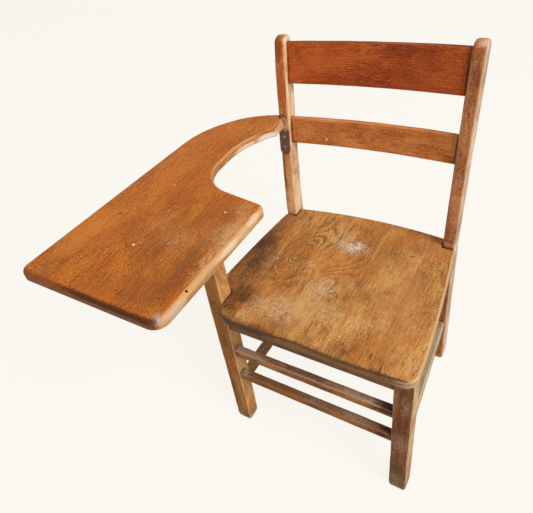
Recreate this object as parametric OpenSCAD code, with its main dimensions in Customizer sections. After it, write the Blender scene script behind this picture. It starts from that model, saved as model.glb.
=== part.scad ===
// Tablet-arm school desk: a wooden side chair whose right front post runs on up
// to carry a writing tablet with a cut-away for the elbow. Sizes in millimetres.
// The pieces are drawn with x = 0 on the chair's centre line, y = 0 on the front
// faces of the front posts and z = 0 on the floor. x < 0 is the sitter's right.

/* [Overall] */
// Height of the seat's rim above the floor
seat_h = 445; // [420:1:470]
// Height of the tablet's writing face above the floor
tablet_h = 700; // [670:1:725]
// Height of the back posts
back_h = 862; // [830:1:900]
// Width over the front posts
front_span = 436; // [420:2:450]
// Width over the back posts, at the seat
rear_span = 390; // [376:2:402]
// From the front posts to the back posts, over their front faces, at the seat
base_depth = 328; // [310:1:345]

/* [Posts] */
// Side of a front post at the seat
leg_w = 37.5; // [35:0.5:40]
// Side of a front post at the foot
foot_w = 36.5; // [33:0.5:37]
// Thickness of a back post, side to side
post_w = 24; // [22:0.5:27]
// Depth of a back post at the seat
post_d = 39; // [36:0.5:44]
// Depth of a back post at its top
post_top_d = 32; // [28:0.5:35]
// How far the back feet stand behind the knee at the seat
foot_rake = 64; // [45:1:75]
// How far a back post leans behind the knee, as a straight line
post_lean = 13; // [5:1:25]
// How far it bows back besides
post_bow = 18; // [8:1:25]
// Half the length of the knee's blend
knee_blend = 45; // [20:1:60]
// Rise of a back post's rounded top
post_dome = 13; // [8:0.5:16]
// Slope of the back posts outwards, in degrees
post_splay = 0.4; // [0:0.1:1]
// Edge cut round each foot
foot_cut = 2; // [1:0.5:4]

/* [Seat] */
// Thickness of the seat at its rim
seat_t = 21; // [18:0.5:25]
// Width of the seat at the front posts
seat_front_w = 451; // [442:1:462]
// Width of the seat at the back posts
seat_rear_w = 392; // [388:1:400]
// How far the seat stands out in front of the front posts
seat_nose = 32; // [26:1:38]
// How far the seat runs on beside the back posts
seat_tail = 29; // [20:1:34]
// Bow of the seat's back edge
seat_back_bow = 14; // [5:1:20]
// Bow of the seat's sides
seat_side_bow = 4; // [1:0.5:8]
// Radius of the left front corner
corner_r = 25; // [15:1:40]
// Radius of the right front corner, which runs into the tablet post
inner_corner_r = 30; // [20:1:32]
// Depth of the two thigh hollows at the front edge
thigh_depth = 5.5; // [3:0.5:7]
// Radius of the cutter that makes them
thigh_r = 560; // [450:10:700]
// Distance of each thigh hollow from the centre line
thigh_x = 97; // [85:1:110]
// Depth of the round dish
dish_depth = 6; // [4:0.5:8]
// Radius of the round dish at the seat's face
dish_rim_r = 165; // [140:1:168]
// Distance of the dish's centre behind the front posts
dish_y = 200; // [185:1:205]
// Width of the three middle seat boards
board_w = 95; // [88:1:100]
// Place of the first glue line
first_joint_x = -140; // [-148:1:-130]

/* [Rails] */
// Thickness of the seat rails
rail_t = 19; // [16:0.5:22]
// Height of the seat rails
rail_h = 68; // [60:1:76]
// How far the front rail is set back from the front posts' faces
rail_inset = 6; // [3:0.5:8]
// How far the rear rail is set back from the back posts' faces at the seat
rear_rail_inset = 18; // [16:0.5:20]
// Diameter of the rail dowels
dowel_d = 9.5; // [8:0.5:10]
// Length of the rail dowels
dowel_l = 44; // [36:1:50]
// How deep a dowel enters a front post, or a back post from the side rail
dowel_in = 20; // [15:1:22]
// How deep a rear rail's dowel enters a back post
rear_dowel_in = 15; // [10:1:17]

/* [Stretchers] */
// Height of the front and rear stretchers' section
stretcher_h = 21; // [17:0.5:25]
// Depth of that section
stretcher_d = 18.5; // [16:0.5:24]
// How far the front stretchers are set back from the front posts' faces
stretcher_inset = 2; // [1:0.5:6]
// Top of the upper front stretcher
upper_z = 290; // [270:0.5:310]
// Top of the lower front stretcher
lower_z = 204; // [190:0.5:225]
// Top of the rear stretcher
rear_z = 250; // [220:1:280]
// Height of the side stretchers' section
side_h = 34; // [28:1:40]
// Thickness of the side stretchers
side_t = 15; // [13:0.5:18]
// Top of the side stretchers at the front posts
side_front_z = 158; // [145:1:165]
// Top of the side stretchers at the back posts
side_rear_z = 174; // [158:1:180]
// Diameter of the stretchers' round tenons
tenon_d = 12; // [10:0.5:13]
// Length of the stretchers' round tenons
tenon_l = 15; // [10:1:18]

/* [Back] */
// Height of the crest rail
crest_h = 84; // [70:1:95]
// How far the crest rail's middle is below the posts' tops
crest_drop = 53; // [50:0.5:60]
// Height of the lower slat
slat_h = 60; // [52:1:72]
// Gap between the crest rail and the lower slat
slat_gap = 73; // [55:1:90]
// Thickness of crest rail and slat
slat_t = 13; // [11:0.5:15]
// How far they are set back from the posts' faces
slat_inset = 10; // [7:0.5:11]
// How far their middles bow back
slat_bow = 11; // [5:1:20]
// Length of their flat tenons
slat_tenon_l = 14; // [8:1:16]
// Thickness of their flat tenons
slat_tenon_t = 8; // [6:0.5:9]
// Shoulder above and below their flat tenons
slat_shoulder = 8; // [5:1:12]

/* [Tablet] */
// Thickness of the tablet
tablet_t = 19.5; // [18:0.5:25]
// How far the tablet reaches in front of the front posts
tablet_reach = 260.5; // [230:0.5:280]
// Distance of its inner front corner from the centre line
tablet_inner_x = 68; // [60:1:80]
// Distance of its outer edge from the centre line, at the front
tablet_outer_x = 375; // [360:1:380]
// Distance of its outer edge from the centre line, where the arm begins
arm_outer_x = 344; // [338:1:350]
// Where the arm's outer curve begins, behind the front posts' faces
arm_y = 182; // [174:1:188]
// Radius of the arm's outer edge
arm_r = 181; // [176:0.5:184]
// Distance of the cut-away's deepest point from the centre line
notch_x = 221.5; // [212:0.5:226]
// Radius at the front of the cut-away
notch_front_r = 85; // [70:1:90]
// Radius along the arm
notch_rear_r = 166; // [150:1:172]
// Distance of the cut-away's front corner behind the front posts' faces
notch_corner_y = 38.5; // [30:0.5:44]
// Distance of that corner from the centre line
notch_corner_x = 61; // [55:1:70]
// Where the front radius ends, behind the front posts' faces
notch_front_y = 139; // [130:1:145]
// Where the arm's inner radius begins, behind the front posts' faces
notch_rear_y = 173.5; // [166:0.5:180]
// Radius of the tablet's corners at the outer front and at the cut-away
tablet_corner_r = 18; // [10:1:22]
// Radius of the tablet's inner front corner
tablet_inner_r = 26; // [18:1:34]
// Distance of the arm's end from the centre line, at its inner corner
arm_end_x = 174; // [170:1:177]
// Where the arm's end face stops, behind the front posts' faces
arm_end_y = 326; // [318:1:330]
// Slant of the arm's end face over its length
arm_end_slant = 3; // [0:0.5:5]
// Slope cut on the arm's end, sideways and down
arm_bevel = 8; // [4:0.5:10]
// Distance of the tablet's glue line from the centre line
tablet_joint_x = 160; // [150:1:164]
// Section of the cleat under the tablet
cleat_s = 22; // [18:0.5:25]
// How far the cleat stops short of the tablet's edges
cleat_end = 30; // [20:1:40]
// Diameter of the dowel between post and tablet
post_dowel_d = 12; // [10:0.5:14]
// Length of that dowel
post_dowel_l = 36; // [28:1:40]

/* [Hardware] */
// Thickness of the arm's iron bracket
strap_t = 2.5; // [2:0.25:3.5]
// How far the bracket's plate runs down the back post
strap_drop = 70; // [62:1:80]
// Reach of the bracket's leg under the arm
strap_reach = 52; // [46:1:56]
// Height of the bracket's ear beside the arm's end
ear_h = 16; // [12:1:19]
// Spacing of the plate's two screws
strap_pitch = 25; // [20:1:30]
// Diameter of every wood screw
screw_d = 4; // [3:0.5:5]
// Diameter of a screw's head
head_d = 8; // [7:0.5:9]
// Height of a screw's head
head_h = 2.5; // [2:0.25:3]
// How far a screw enters the second piece
bite = 12; // [8:1:13]
// Height of the corner blocks
block_h = 38; // [30:1:44]
// Width of a corner block where it meets a rail
block_w = 38; // [34:1:42]
// Room between a corner block and its post
block_clear = 26; // [24:1:30]

/* [Fits] */
// Room round each tenon, dowel and screw
fit = 0.1; // [0.05:0.05:0.2]
// Room between the seat and the posts that it is cut round
seat_gap = 1; // [0.5:0.25:2]

/* [Hidden] */

$fn = 48;
past = 20;                          // length by which a cutter or bar overshoots
right = -1;
left = 1;

seat_under = seat_h - seat_t;
rail_z = seat_under - rail_h;
tablet_under = tablet_h - tablet_t;
front_cx = front_span / 2 - leg_w / 2;      // centre lines of the posts
rear_cx = rear_span / 2 - post_w / 2;
leg_inner_x = front_span / 2 - leg_w;
post_inner_x = rear_span / 2 - post_w;
rear_rail_y = base_depth + rear_rail_inset;
crest_z = back_h - crest_drop;
slat_z = crest_z - crest_h / 2 - slat_gap - slat_h / 2;
bar_dz = side_h / 2;

function mix(a, b, t) = a + (b - a) * t;
function ramp(u, k) = u <= -k ? 0 : u >= k ? u : (u + k) * (u + k) / (4 * k);
function arc(c, r, a0, a1, n) = [for (i = [0:n]) let (a = mix(a0, a1, i / n))
    [c[0] + r * cos(a), c[1] + r * sin(a)]];
function unit(v) = v / norm(v);

// Round off the corner b between the lines to a and c with radius r.
function fillet(a, b, c, r, n = 8) =
    let (u = unit(a - b), v = unit(c - b), half = acos(u * v) / 2,
         m = unit(u + v), o = b + m * r / sin(half), t = b + u * r / tan(half),
         s = atan2(t[1] - o[1], t[0] - o[0]), turn = 180 - 2 * half,
         way = u[0] * v[1] - u[1] * v[0] > 0 ? -1 : 1)
    arc(o, r, s, s + way * turn, n);

// Front face of a back post, its slope, its depth and its middle, at height z.
function rise(z) = max(0, z - seat_h) / (back_h - seat_h);
function post_y(z) = base_depth + foot_rake / seat_h * ramp(seat_h - z, knee_blend)
    + post_lean * rise(z) + post_bow * rise(z) * rise(z);
function post_tilt(z) = atan((post_lean + 2 * post_bow * rise(z)) / (back_h - seat_h));
function post_depth(z) = mix(post_d, post_top_d, rise(z));
function post_cx(z) = rear_cx + (z - seat_h) * tan(post_splay);
// Width of a front post at height z
function leg_side(z) = mix(foot_w, leg_w, min(1, z / seat_under));

// Stations up a back post: straight below the knee, curved above it.
knee_steps = [for (i = [0:8]) seat_h - knee_blend + i * knee_blend / 4];
bow_steps = [for (i = [1:9]) mix(seat_h + knee_blend, back_h - post_dome, i / 9)];
stations = concat([foot_cut], knee_steps, bow_steps);

dome_mid = post_y(back_h - post_dome) + post_depth(back_h) / 2;
dome = [for (i = [1:7]) let (a = 180 - i * 22.5)
    [dome_mid + post_depth(back_h) / 2 * cos(a), back_h - post_dome + post_dome * sin(a)]];

sole_z = -1;                        // the post is drawn this much too long and cut off level
post_profile = concat([[post_y(0) + foot_cut, sole_z], [post_y(0) + foot_cut, 0]],
    [for (z = stations) [post_y(z), z]], dome,
    [for (i = [len(stations) - 1:-1:0]) let (z = stations[i]) [post_y(z) + post_depth(z), z]],
    [[post_y(0) + post_d - foot_cut, 0], [post_y(0) + post_d - foot_cut, sole_z]]);

// Everything is drawn on the chair's own lines and then moved to the part's origin.
module placed() translate([origin_x, origin_y, 0]) children();

module at_side(side) if (side == left) children(); else mirror([1, 0, 0]) children();

module along_x(x0, x1, r) translate([x0, 0, 0]) rotate([0, 90, 0]) cylinder(h = x1 - x0, r = r);

module along_y(y0, y1, r) translate([0, y0, 0]) rotate([-90, 0, 0]) cylinder(h = y1 - y0, r = r);

// A wood screw along +Z: its head's face is at z = 0 and its point at z = l.
module screw(l, room = 0) {
    cylinder(h = head_h, r1 = head_d / 2 + room, r2 = screw_d / 2 + room);
    cylinder(h = l + room, r = screw_d / 2 + room);
}

// The same with a round head that stands in front of the plate.
module round_screw(l) {
    intersection() {
        translate([0, 0, head_h]) sphere(r = head_d * 0.55);
        translate([-head_d, -head_d, -head_h]) cube([2 * head_d, 2 * head_d, head_h]);
    }
    cylinder(h = l, r = screw_d / 2);
}

// Posts without their holes, on the left side.
module leg_blank(top) {
    out = front_span / 2;
    side = [[out - foot_w + foot_cut, 0], [out - foot_cut, 0], [out, foot_cut], [out, top],
            [out - leg_w, top], [out - leg_w, seat_under], [out - leg_side(foot_cut), foot_cut]];
    front = [[foot_cut, 0], [foot_w - foot_cut, 0], [leg_side(foot_cut), foot_cut],
             [leg_w, seat_under], [leg_w, top], [0, top], [0, foot_cut]];
    intersection() {
        translate([0, leg_w + past, 0]) rotate([90, 0, 0])
            linear_extrude(leg_w + 2 * past) polygon(side);
        translate([out - leg_w - past, 0, 0]) rotate([90, 0, 90])
            linear_extrude(leg_w + 2 * past) polygon(front);
    }
}

// The back post leans outwards about its own middle at the seat.
module leaning() translate([rear_cx, 0, seat_h]) rotate([0, post_splay, 0])
    translate([-rear_cx, 0, -seat_h]) children();

module post_blank() {
    difference() {
        leaning() translate([post_inner_x, 0, 0]) rotate([90, 0, 90])
            linear_extrude(post_w) polygon(post_profile);
        translate([0, base_depth, -past]) cube([front_span, base_depth, past]);
    }
}

// Round tenons of the stretchers, on the left side.
module front_tenon(top, room = 0) {
    x = front_span / 2 - leg_side(top);
    translate([0, stretcher_inset + stretcher_d / 2, top - stretcher_h / 2])
        along_x(x - past / 2, x + tenon_l + room, tenon_d / 2 + room);
}

rear_stretcher_y = post_y(rear_z - stretcher_h / 2) + (post_d - stretcher_d) / 2;

module rear_tenon(room = 0) {
    translate([0, rear_stretcher_y + stretcher_d / 2, rear_z - stretcher_h / 2])
        along_x(post_inner_x - past, post_cx(rear_z) - post_w / 2 + tenon_l + room,
                tenon_d / 2 + room);
}

// The side stretcher's line runs from the front post's centre to the back post's.
side_a = [front_cx - 2, leg_side(side_front_z), side_front_z - bar_dz];
side_b = [post_cx(side_rear_z), post_y(side_rear_z - bar_dz), side_rear_z - bar_dz];
side_run = norm(side_b - side_a);
side_yaw = atan2(side_a[0] - side_b[0], side_b[1] - side_a[1]);
side_pitch = asin((side_b[2] - side_a[2]) / side_run);

module on_side_line() translate(side_a) rotate([side_pitch, 0, side_yaw]) children();

module side_tenons(room = 0)
    on_side_line() along_y(-tenon_l - room, side_run + tenon_l + room, tenon_d / 2 + room);

// Rail dowels on the left side: front rail, side rail at both ends, rear rail.
dowel_r = dowel_d / 2;
low_pair = [rail_z + rail_h * 0.22, rail_z + rail_h * 0.66];
high_pair = [rail_z + rail_h * 0.44, rail_z + rail_h * 0.86];
side_dowel_x = [front_cx, rear_cx];

module dowels(room = 0) {
    l = dowel_l + room;
    for (z = low_pair) {
        translate([0, rail_inset + rail_t / 2, z])
            along_x(leg_inner_x + dowel_in - l, leg_inner_x + dowel_in + room, dowel_r + room);
        translate([0, rear_rail_y + rail_t / 2, z])
            along_x(post_inner_x + rear_dowel_in - l, post_inner_x + rear_dowel_in + room,
                    dowel_r + room);
    }
    for (z = high_pair) {
        translate([side_dowel_x[0], 0, z])
            along_y(leg_w - dowel_in - room, leg_w - dowel_in + l, dowel_r + room);
        translate([side_dowel_x[1], 0, z])
            along_y(post_y(z) + dowel_in - l, post_y(z) + dowel_in + room, dowel_r + room);
    }
}

// Crest rail and slat: a bowed board on the posts' slope, with a flat tenon at each end.
module slat_tenon(z, h, room = 0) {
    x0 = post_inner_x - past / 2;
    x1 = post_cx(z) - post_w / 2 + slat_tenon_l + room;
    on_post_slope(z) translate([x0, (slat_t - slat_tenon_t) / 2 - room,
                                -h / 2 + slat_shoulder - room])
        cube([x1 - x0, slat_tenon_t + 2 * room, h - 2 * slat_shoulder + 2 * room]);
}

module on_post_slope(z)
    translate([0, post_y(z) + slat_inset, z]) rotate([-post_tilt(z), 0, 0]) children();

module bowed_board(z, h) {
    half = post_inner_x + past / 2;
    bow = [for (i = [0:16]) let (x = mix(-half, half, i / 16))
        [x, slat_bow * (1 - pow(x / post_inner_x, 2))]];
    back = [for (i = [16:-1:0]) bow[i] + [0, slat_t]];
    difference() {
        on_post_slope(z) translate([0, 0, -h / 2]) linear_extrude(h) polygon(concat(bow, back));
        for (side = [right, left]) at_side(side) post_blank();
    }
    for (side = [right, left]) at_side(side) slat_tenon(z, h);
}

// Screws and holes of the bracket's plate, which lies on the right back post.
strap_top = tablet_under;
strap_mid = strap_top - strap_drop / 2;
strap_w = post_w;
ear_in = 5;                         // the ear's edges, from the post's middle
ear_out = 8;
ear_taper = 4;
plate_screw_v = [strap_pitch / 2 - 5, -strap_pitch / 2 - 5];
plate_bite = slat_inset + (slat_t - slat_tenon_t) / 2 - 2;      // short of the slat's mortise

module on_strap() {
    translate([-post_cx(strap_mid), post_y(strap_mid), strap_mid])
        rotate([-post_tilt(strap_mid), -post_splay, 0]) rotate([90, 0, 0]) children();
}

module plate_screws(room = 0) {
    on_strap() for (v = plate_screw_v) translate([0, v, strap_t]) rotate([180, 0, 0])
        if (room > 0) translate([0, 0, -past])
            cylinder(h = past + strap_t + plate_bite + room, r = screw_d / 2 + room);
        else round_screw(strap_t + plate_bite);
}

// The bracket's leg under the arm, and its two screws.
leg_root = [-post_cx(strap_top), post_y(strap_top - strap_t)];
leg_way = unit([-0.62, -0.78]);
leg_side_way = [leg_way[1], -leg_way[0]];
leg_screw_at = [for (s = [0.5, 0.85]) leg_root + leg_way * strap_reach * s];

module leg_screws(room = 0) {
    for (p = leg_screw_at) translate([p[0], p[1], tablet_under - strap_t - (room > 0 ? past : 0)])
        if (room > 0) cylinder(h = past + strap_t + bite + room, r = screw_d / 2 + room);
        else round_screw(strap_t + bite);
}

module front_post_right() color("peru") placed() {
    difference() {
        mirror([1, 0, 0]) leg_blank(tablet_under);
        for (top = [upper_z, lower_z]) mirror([1, 0, 0]) front_tenon(top, fit);
        mirror([1, 0, 0]) side_tenons(fit);
        mirror([1, 0, 0]) dowels(fit);
        post_dowel(fit);
        cleat_to_post(fit);
    }
}

module front_leg_left() color("peru") placed() {
    difference() {
        leg_blank(seat_under);
        for (top = [upper_z, lower_z]) front_tenon(top, fit);
        side_tenons(fit);
        dowels(fit);
    }
}

module back_post(side) {
    difference() {
        at_side(side) post_blank();
        at_side(side) rear_tenon(fit);
        at_side(side) side_tenons(fit);
        at_side(side) dowels(fit);
        at_side(side) slat_tenon(crest_z, crest_h, fit);
        at_side(side) slat_tenon(slat_z, slat_h, fit);
        if (side == right) plate_screws(fit);
    }
}

module rear_post_right() color("peru") placed() back_post(right);

module rear_post_left() color("peru") placed() back_post(left);

// Seat rails: bars that run past the posts and are cut off against them.
module all_blanks() {
    for (side = [right, left]) at_side(side) {
        leg_blank(seat_under);
        post_blank();
    }
}

module front_rail() color("sienna") placed() {
    difference() {
        translate([-front_cx, rail_inset, rail_z]) cube([2 * front_cx, rail_t, rail_h]);
        all_blanks();
        for (side = [right, left]) at_side(side) dowels(fit);
        for (side = [right, left]) at_side(side) block_screw_set(fit);
    }
}

module rear_rail() color("sienna") placed() {
    difference() {
        translate([-rear_cx, rear_rail_y, rail_z]) cube([2 * rear_cx, rail_t, rail_h]);
        all_blanks();
        for (side = [right, left]) at_side(side) dowels(fit);
        for (side = [right, left]) at_side(side) block_screw_set(fit);
    }
}

// Centre line of a side rail in plan, and its inner face at a given y
function rail_cx(y) = mix(front_cx, rear_cx, (y - leg_w) / (base_depth - leg_w));
function rail_in(y) = rail_cx(y) - rail_t / 2;
rail_lap = 2;                       // the side rails are drawn this far into the posts

module side_rail(side) {
    y0 = leg_w - rail_lap;
    y1 = post_y(rail_z) + rail_lap;
    at_side(side) difference() {
        translate([0, 0, rail_z]) linear_extrude(rail_h)
            polygon([[rail_in(y0), y0], [rail_in(y0) + rail_t, y0],
                     [rail_in(y1) + rail_t, y1], [rail_in(y1), y1]]);
        leg_blank(seat_under);
        post_blank();
        dowels(fit);
        block_screw_set(fit);
    }
}

module side_rail_right() color("sienna") placed() side_rail(right);

module side_rail_left() color("sienna") placed() side_rail(left);

module rail_dowels() color("burlywood") placed() {
    for (side = [right, left]) at_side(side) dowels();
}

// Corner blocks: a brace across each corner of the seat frame
rail_face_y = rail_inset + rail_t;
front_block = [[leg_inner_x - block_clear - block_w, rail_face_y],
               [leg_inner_x - block_clear, rail_face_y],
               [rail_in(leg_w + block_clear), leg_w + block_clear],
               [rail_in(leg_w + block_clear + block_w), leg_w + block_clear + block_w]];
rear_block = [[post_inner_x - block_clear - block_w, rear_rail_y],
              [post_inner_x - block_clear, rear_rail_y],
              [rail_in(base_depth - block_clear), base_depth - block_clear],
              [rail_in(base_depth - block_clear - block_w), base_depth - block_clear - block_w]];
function middle(p) = (p[0] + p[1] + p[2] + p[3]) / 4;
block_z = seat_under - block_h;
block_depth = 11;                   // wood left under a block screw's head

// Screws of the two blocks on one side, into the rails that they touch.
module block_screw_set(room = 0) {
    l = block_depth + bite;
    z = block_z + block_h / 2;
    fx = (front_block[0][0] + front_block[1][0]) / 2;
    fy = (front_block[2][1] + front_block[3][1]) / 2;
    rx = (rear_block[0][0] + rear_block[1][0]) / 2;
    ry = (rear_block[2][1] + rear_block[3][1]) / 2;
    translate([fx, rail_face_y + block_depth, z]) rotate([90, 0, 0]) screw(l, room);
    translate([rx, rear_rail_y - block_depth, z]) rotate([-90, 0, 0]) screw(l, room);
    for (y = [fy, ry]) translate([rail_in(y) - block_depth, y, z])
        rotate([0, 90, 0]) screw(l, room);
}

// Wells that let the block screws' heads in
module block_wells() {
    z = block_z + block_h / 2;
    fx = (front_block[0][0] + front_block[1][0]) / 2;
    fy = (front_block[2][1] + front_block[3][1]) / 2;
    rx = (rear_block[0][0] + rear_block[1][0]) / 2;
    ry = (rear_block[2][1] + rear_block[3][1]) / 2;
    well = head_d / 2 + 0.5;
    translate([fx, 0, z]) along_y(rail_face_y + block_depth, rail_face_y + block_w + past, well);
    translate([rx, 0, z]) along_y(rear_rail_y - block_w - past, rear_rail_y - block_depth, well);
    for (y = [fy, ry]) translate([0, y, z])
        along_x(rail_in(y) - block_w - past, rail_in(y) - block_depth, well);
}

module corner_block(side, plan) {
    at_side(side) difference() {
        translate([0, 0, block_z]) linear_extrude(block_h) polygon(plan);
        block_screw_set(fit);
        block_wells();
        seat_screw_set(fit);
    }
}

module corner_block_front_right() color("tan") placed() corner_block(right, front_block);

module corner_block_front_left() color("tan") placed() corner_block(left, front_block);

module corner_block_rear_right() color("tan") placed() corner_block(right, rear_block);

module corner_block_rear_left() color("tan") placed() corner_block(left, rear_block);

module block_screws() color("dimgray") placed() {
    for (side = [right, left]) at_side(side) block_screw_set();
}

// Screws up through the blocks into the seat, on one side
module seat_screw_set(room = 0) {
    for (p = [middle(front_block), middle(rear_block)])
        translate([p[0], p[1], block_z]) screw(block_h + bite, room);
}

module seat_screws() color("dimgray") placed() {
    for (side = [right, left]) at_side(side) seat_screw_set();
}

// Stretchers
module front_stretcher(top) {
    x = front_cx;
    difference() {
        translate([-x, stretcher_inset, top - stretcher_h]) cube([2 * x, stretcher_d, stretcher_h]);
        for (side = [right, left]) at_side(side) leg_blank(seat_under);
    }
    for (side = [right, left]) at_side(side) front_tenon(top);
}

module front_stretcher_upper() color("sienna") placed() front_stretcher(upper_z);

module front_stretcher_lower() color("sienna") placed() front_stretcher(lower_z);

module side_stretcher(side) {
    at_side(side) {
        difference() {
            on_side_line() translate([-side_t / 2, -past / 2, -bar_dz])
                cube([side_t, side_run + past, side_h]);
            leg_blank(seat_under);
            post_blank();
        }
        side_tenons();
    }
}

module side_stretcher_right() color("sienna") placed() side_stretcher(right);

module side_stretcher_left() color("sienna") placed() side_stretcher(left);

module rear_stretcher() color("sienna") placed() {
    difference() {
        translate([-rear_cx, rear_stretcher_y, rear_z - stretcher_h])
            cube([2 * rear_cx, stretcher_d, stretcher_h]);
        for (side = [right, left]) at_side(side) post_blank();
    }
    for (side = [right, left]) at_side(side) rear_tenon();
}

module crest_rail() color("chocolate") placed() bowed_board(crest_z, crest_h);

module lower_slat() color("chocolate") placed() bowed_board(slat_z, slat_h);

// Seat: the outline, from the left front corner round by the back to the tablet post.
seat_back_y = base_depth + seat_tail;
notch_side_x = post_inner_x - seat_gap;
function seat_edge_x(y) = let (t = y / base_depth)
    mix(seat_front_w, seat_rear_w, t) / 2 + 4 * seat_side_bow * t * (1 - t);
side_steps = [for (i = [0:8]) mix(corner_r, base_depth - seat_gap, i / 8)];
right_steps = [for (i = [8:-1:0]) mix(leg_w + seat_gap, base_depth - seat_gap, i / 8)];
back_edge = [for (i = [0:12]) let (x = mix(notch_side_x, -notch_side_x, i / 12))
    [x, seat_back_y + seat_back_bow * (1 - pow(x / notch_side_x, 2))]];
post_side_x = -(leg_inner_x - seat_gap);
seat_outline = concat(
    fillet([0, -seat_nose], [seat_edge_x(0), -seat_nose],
           [seat_edge_x(corner_r), corner_r], corner_r),
    [for (y = side_steps) [seat_edge_x(y), y]],
    [[notch_side_x, base_depth - seat_gap]], back_edge,
    [[-notch_side_x, base_depth - seat_gap]],
    [for (y = right_steps) [-seat_edge_x(y), y]],
    [[post_side_x, leg_w + seat_gap]],
    fillet([post_side_x, leg_w], [post_side_x, -seat_nose], [0, -seat_nose], inner_corner_r));

dish_r = (dish_rim_r * dish_rim_r + dish_depth * dish_depth) / (2 * dish_depth);
thigh_rise = atan(thigh_depth / (base_depth + seat_nose));

module seat_blank() {
    difference() {
        translate([0, 0, seat_under]) linear_extrude(seat_t) polygon(seat_outline);
        translate([0, dish_y, seat_h - dish_depth + dish_r]) sphere(r = dish_r, $fn = 360);
        for (side = [right, left])
            translate([side * thigh_x, -seat_nose - past, seat_h - thigh_depth + thigh_r])
                rotate([-90 + thigh_rise, 0, 0])
                    cylinder(h = base_depth + 2 * past, r = thigh_r, $fn = 180);
    }
}

seat_half = max(seat_front_w, seat_rear_w) / 2 + past;
joints = [-seat_half, first_joint_x, first_joint_x + board_w, first_joint_x + 2 * board_w,
          first_joint_x + 3 * board_w, seat_half];

module seat_board(i) {
    y0 = -seat_nose - past;
    y1 = seat_back_y + seat_back_bow + past;
    difference() {
        intersection() {
            seat_blank();
            translate([joints[i], y0, seat_under - past])
                cube([joints[i + 1] - joints[i], y1 - y0, seat_t + 2 * past]);
        }
        for (side = [right, left]) at_side(side) seat_screw_set(fit);
    }
}

module seat_board_1() color("peru") placed() seat_board(0);

module seat_board_2() color("tan") placed() seat_board(1);

module seat_board_3() color("peru") placed() seat_board(2);

module seat_board_4() color("tan") placed() seat_board(3);

module seat_board_5() color("peru") placed() seat_board(4);

// Tablet: the outline, from the cut-away's front corner round the arm to the front edge.
front_y = -tablet_reach;
front_c = [-notch_x + notch_front_r, notch_front_y];
rear_c = [-notch_x + notch_rear_r, notch_rear_y];
arm_start = [-arm_outer_x, arm_y];
outer_front = [-tablet_outer_x, front_y];
outer_way = atan2(arm_start[1] - outer_front[1], arm_start[0] - outer_front[0]);
outer_c = arm_start + arm_r * [sin(outer_way), -cos(outer_way)];
notch_corner = [-notch_corner_x, notch_corner_y];
to_front_c = front_c - notch_corner;
notch_way = atan2(to_front_c[1], to_front_c[0]) + asin(notch_front_r / norm(to_front_c));
notch_tip = notch_corner + 60 * [cos(notch_way), sin(notch_way)];
end_front_a = acos((-arm_end_x - rear_c[0]) / notch_rear_r);
end_front = rear_c + notch_rear_r * [cos(end_front_a), sin(end_front_a)];
end_rear = [-arm_end_x - arm_end_slant, arm_end_y];
// The arm's tip laps the outer front edge of the back post.
lap_x = -(post_cx(tablet_under) + post_w / 2 + seat_gap / 2);
lap_y = post_y(tablet_under) - seat_gap / 2;
end_back_a = acos((lap_x - outer_c[0]) / arm_r);
inner_front = [-tablet_inner_x, front_y];
tablet_outline = concat(
    fillet(inner_front, notch_corner, notch_tip, tablet_corner_r),
    arc(front_c, notch_front_r, notch_way + 90, 180, 14),
    arc(rear_c, notch_rear_r, 180, end_front_a, 10),
    [end_rear, [lap_x, lap_y]],
    arc(outer_c, arm_r, end_back_a, outer_way + 90, 18),
    fillet(arm_start, outer_front, inner_front, tablet_corner_r),
    fillet(outer_front, inner_front, notch_corner, tablet_inner_r));

// The part's origin is under the middle of everything, on the floor.
origin_x = -(min([for (p = tablet_outline) p[0]]) + max([for (p = seat_outline) p[0]])) / 2;
origin_y = (tablet_reach - post_y(0) - post_d) / 2;

// The slope on the arm's end
module end_bevel() {
    way = atan2(end_rear[1] - end_front[1], end_rear[0] - end_front[0]);
    translate([end_front[0], end_front[1], tablet_h]) rotate([0, 0, way])
        translate([-past, 0, -arm_bevel]) rotate([45, 0, 0])
            translate([0, -2 * past, 0]) cube([norm(end_rear - end_front) + 2 * past,
                                               2 * past, 2 * past]);
}

module tablet_blank() {
    difference() {
        translate([0, 0, tablet_under]) linear_extrude(tablet_t) polygon(tablet_outline);
        end_bevel();
        post_dowel(fit);
        cleat_to_tablet(fit);
        leg_screws(fit);
    }
}

module inner_side() {
    translate([-tablet_joint_x, -tablet_reach - past, tablet_under - past])
        cube([tablet_joint_x, tablet_reach + base_depth + 4 * past, tablet_t + 2 * past]);
}

module tablet_outer_board() color("chocolate") placed() {
    difference() {
        tablet_blank();
        inner_side();
    }
}

module tablet_inner_board() color("chocolate") placed() {
    intersection() {
        tablet_blank();
        inner_side();
    }
}

// Dowel from the tablet post up into the tablet
module post_dowel(room = 0) {
    up = tablet_t * 0.6;
    translate([-front_cx, leg_w / 2 + 4, tablet_under + up - post_dowel_l - room])
        cylinder(h = post_dowel_l + 2 * room, r = post_dowel_d / 2 + room);
}

module tablet_post_dowel() color("burlywood") placed() post_dowel();

// Cleat that keeps the two tablet boards flat and ties them to the post
cleat_x0 = -arm_outer_x + cleat_end;
cleat_x1 = -tablet_inner_x - cleat_end;
cleat_up_x = [cleat_x0 + 20, -tablet_joint_x - 75, -tablet_joint_x + 15, cleat_x1 - 15];

module cleat_to_tablet(room = 0) {
    for (x = cleat_up_x) translate([x, -cleat_s / 2, tablet_under - cleat_s])
        screw(cleat_s + bite, room);
}

module cleat_to_post(room = 0) {
    for (dx = [-12, 12]) translate([-front_cx + dx, -cleat_s, tablet_under - cleat_s / 2])
        rotate([-90, 0, 0]) screw(cleat_s + bite, room);
}

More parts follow.
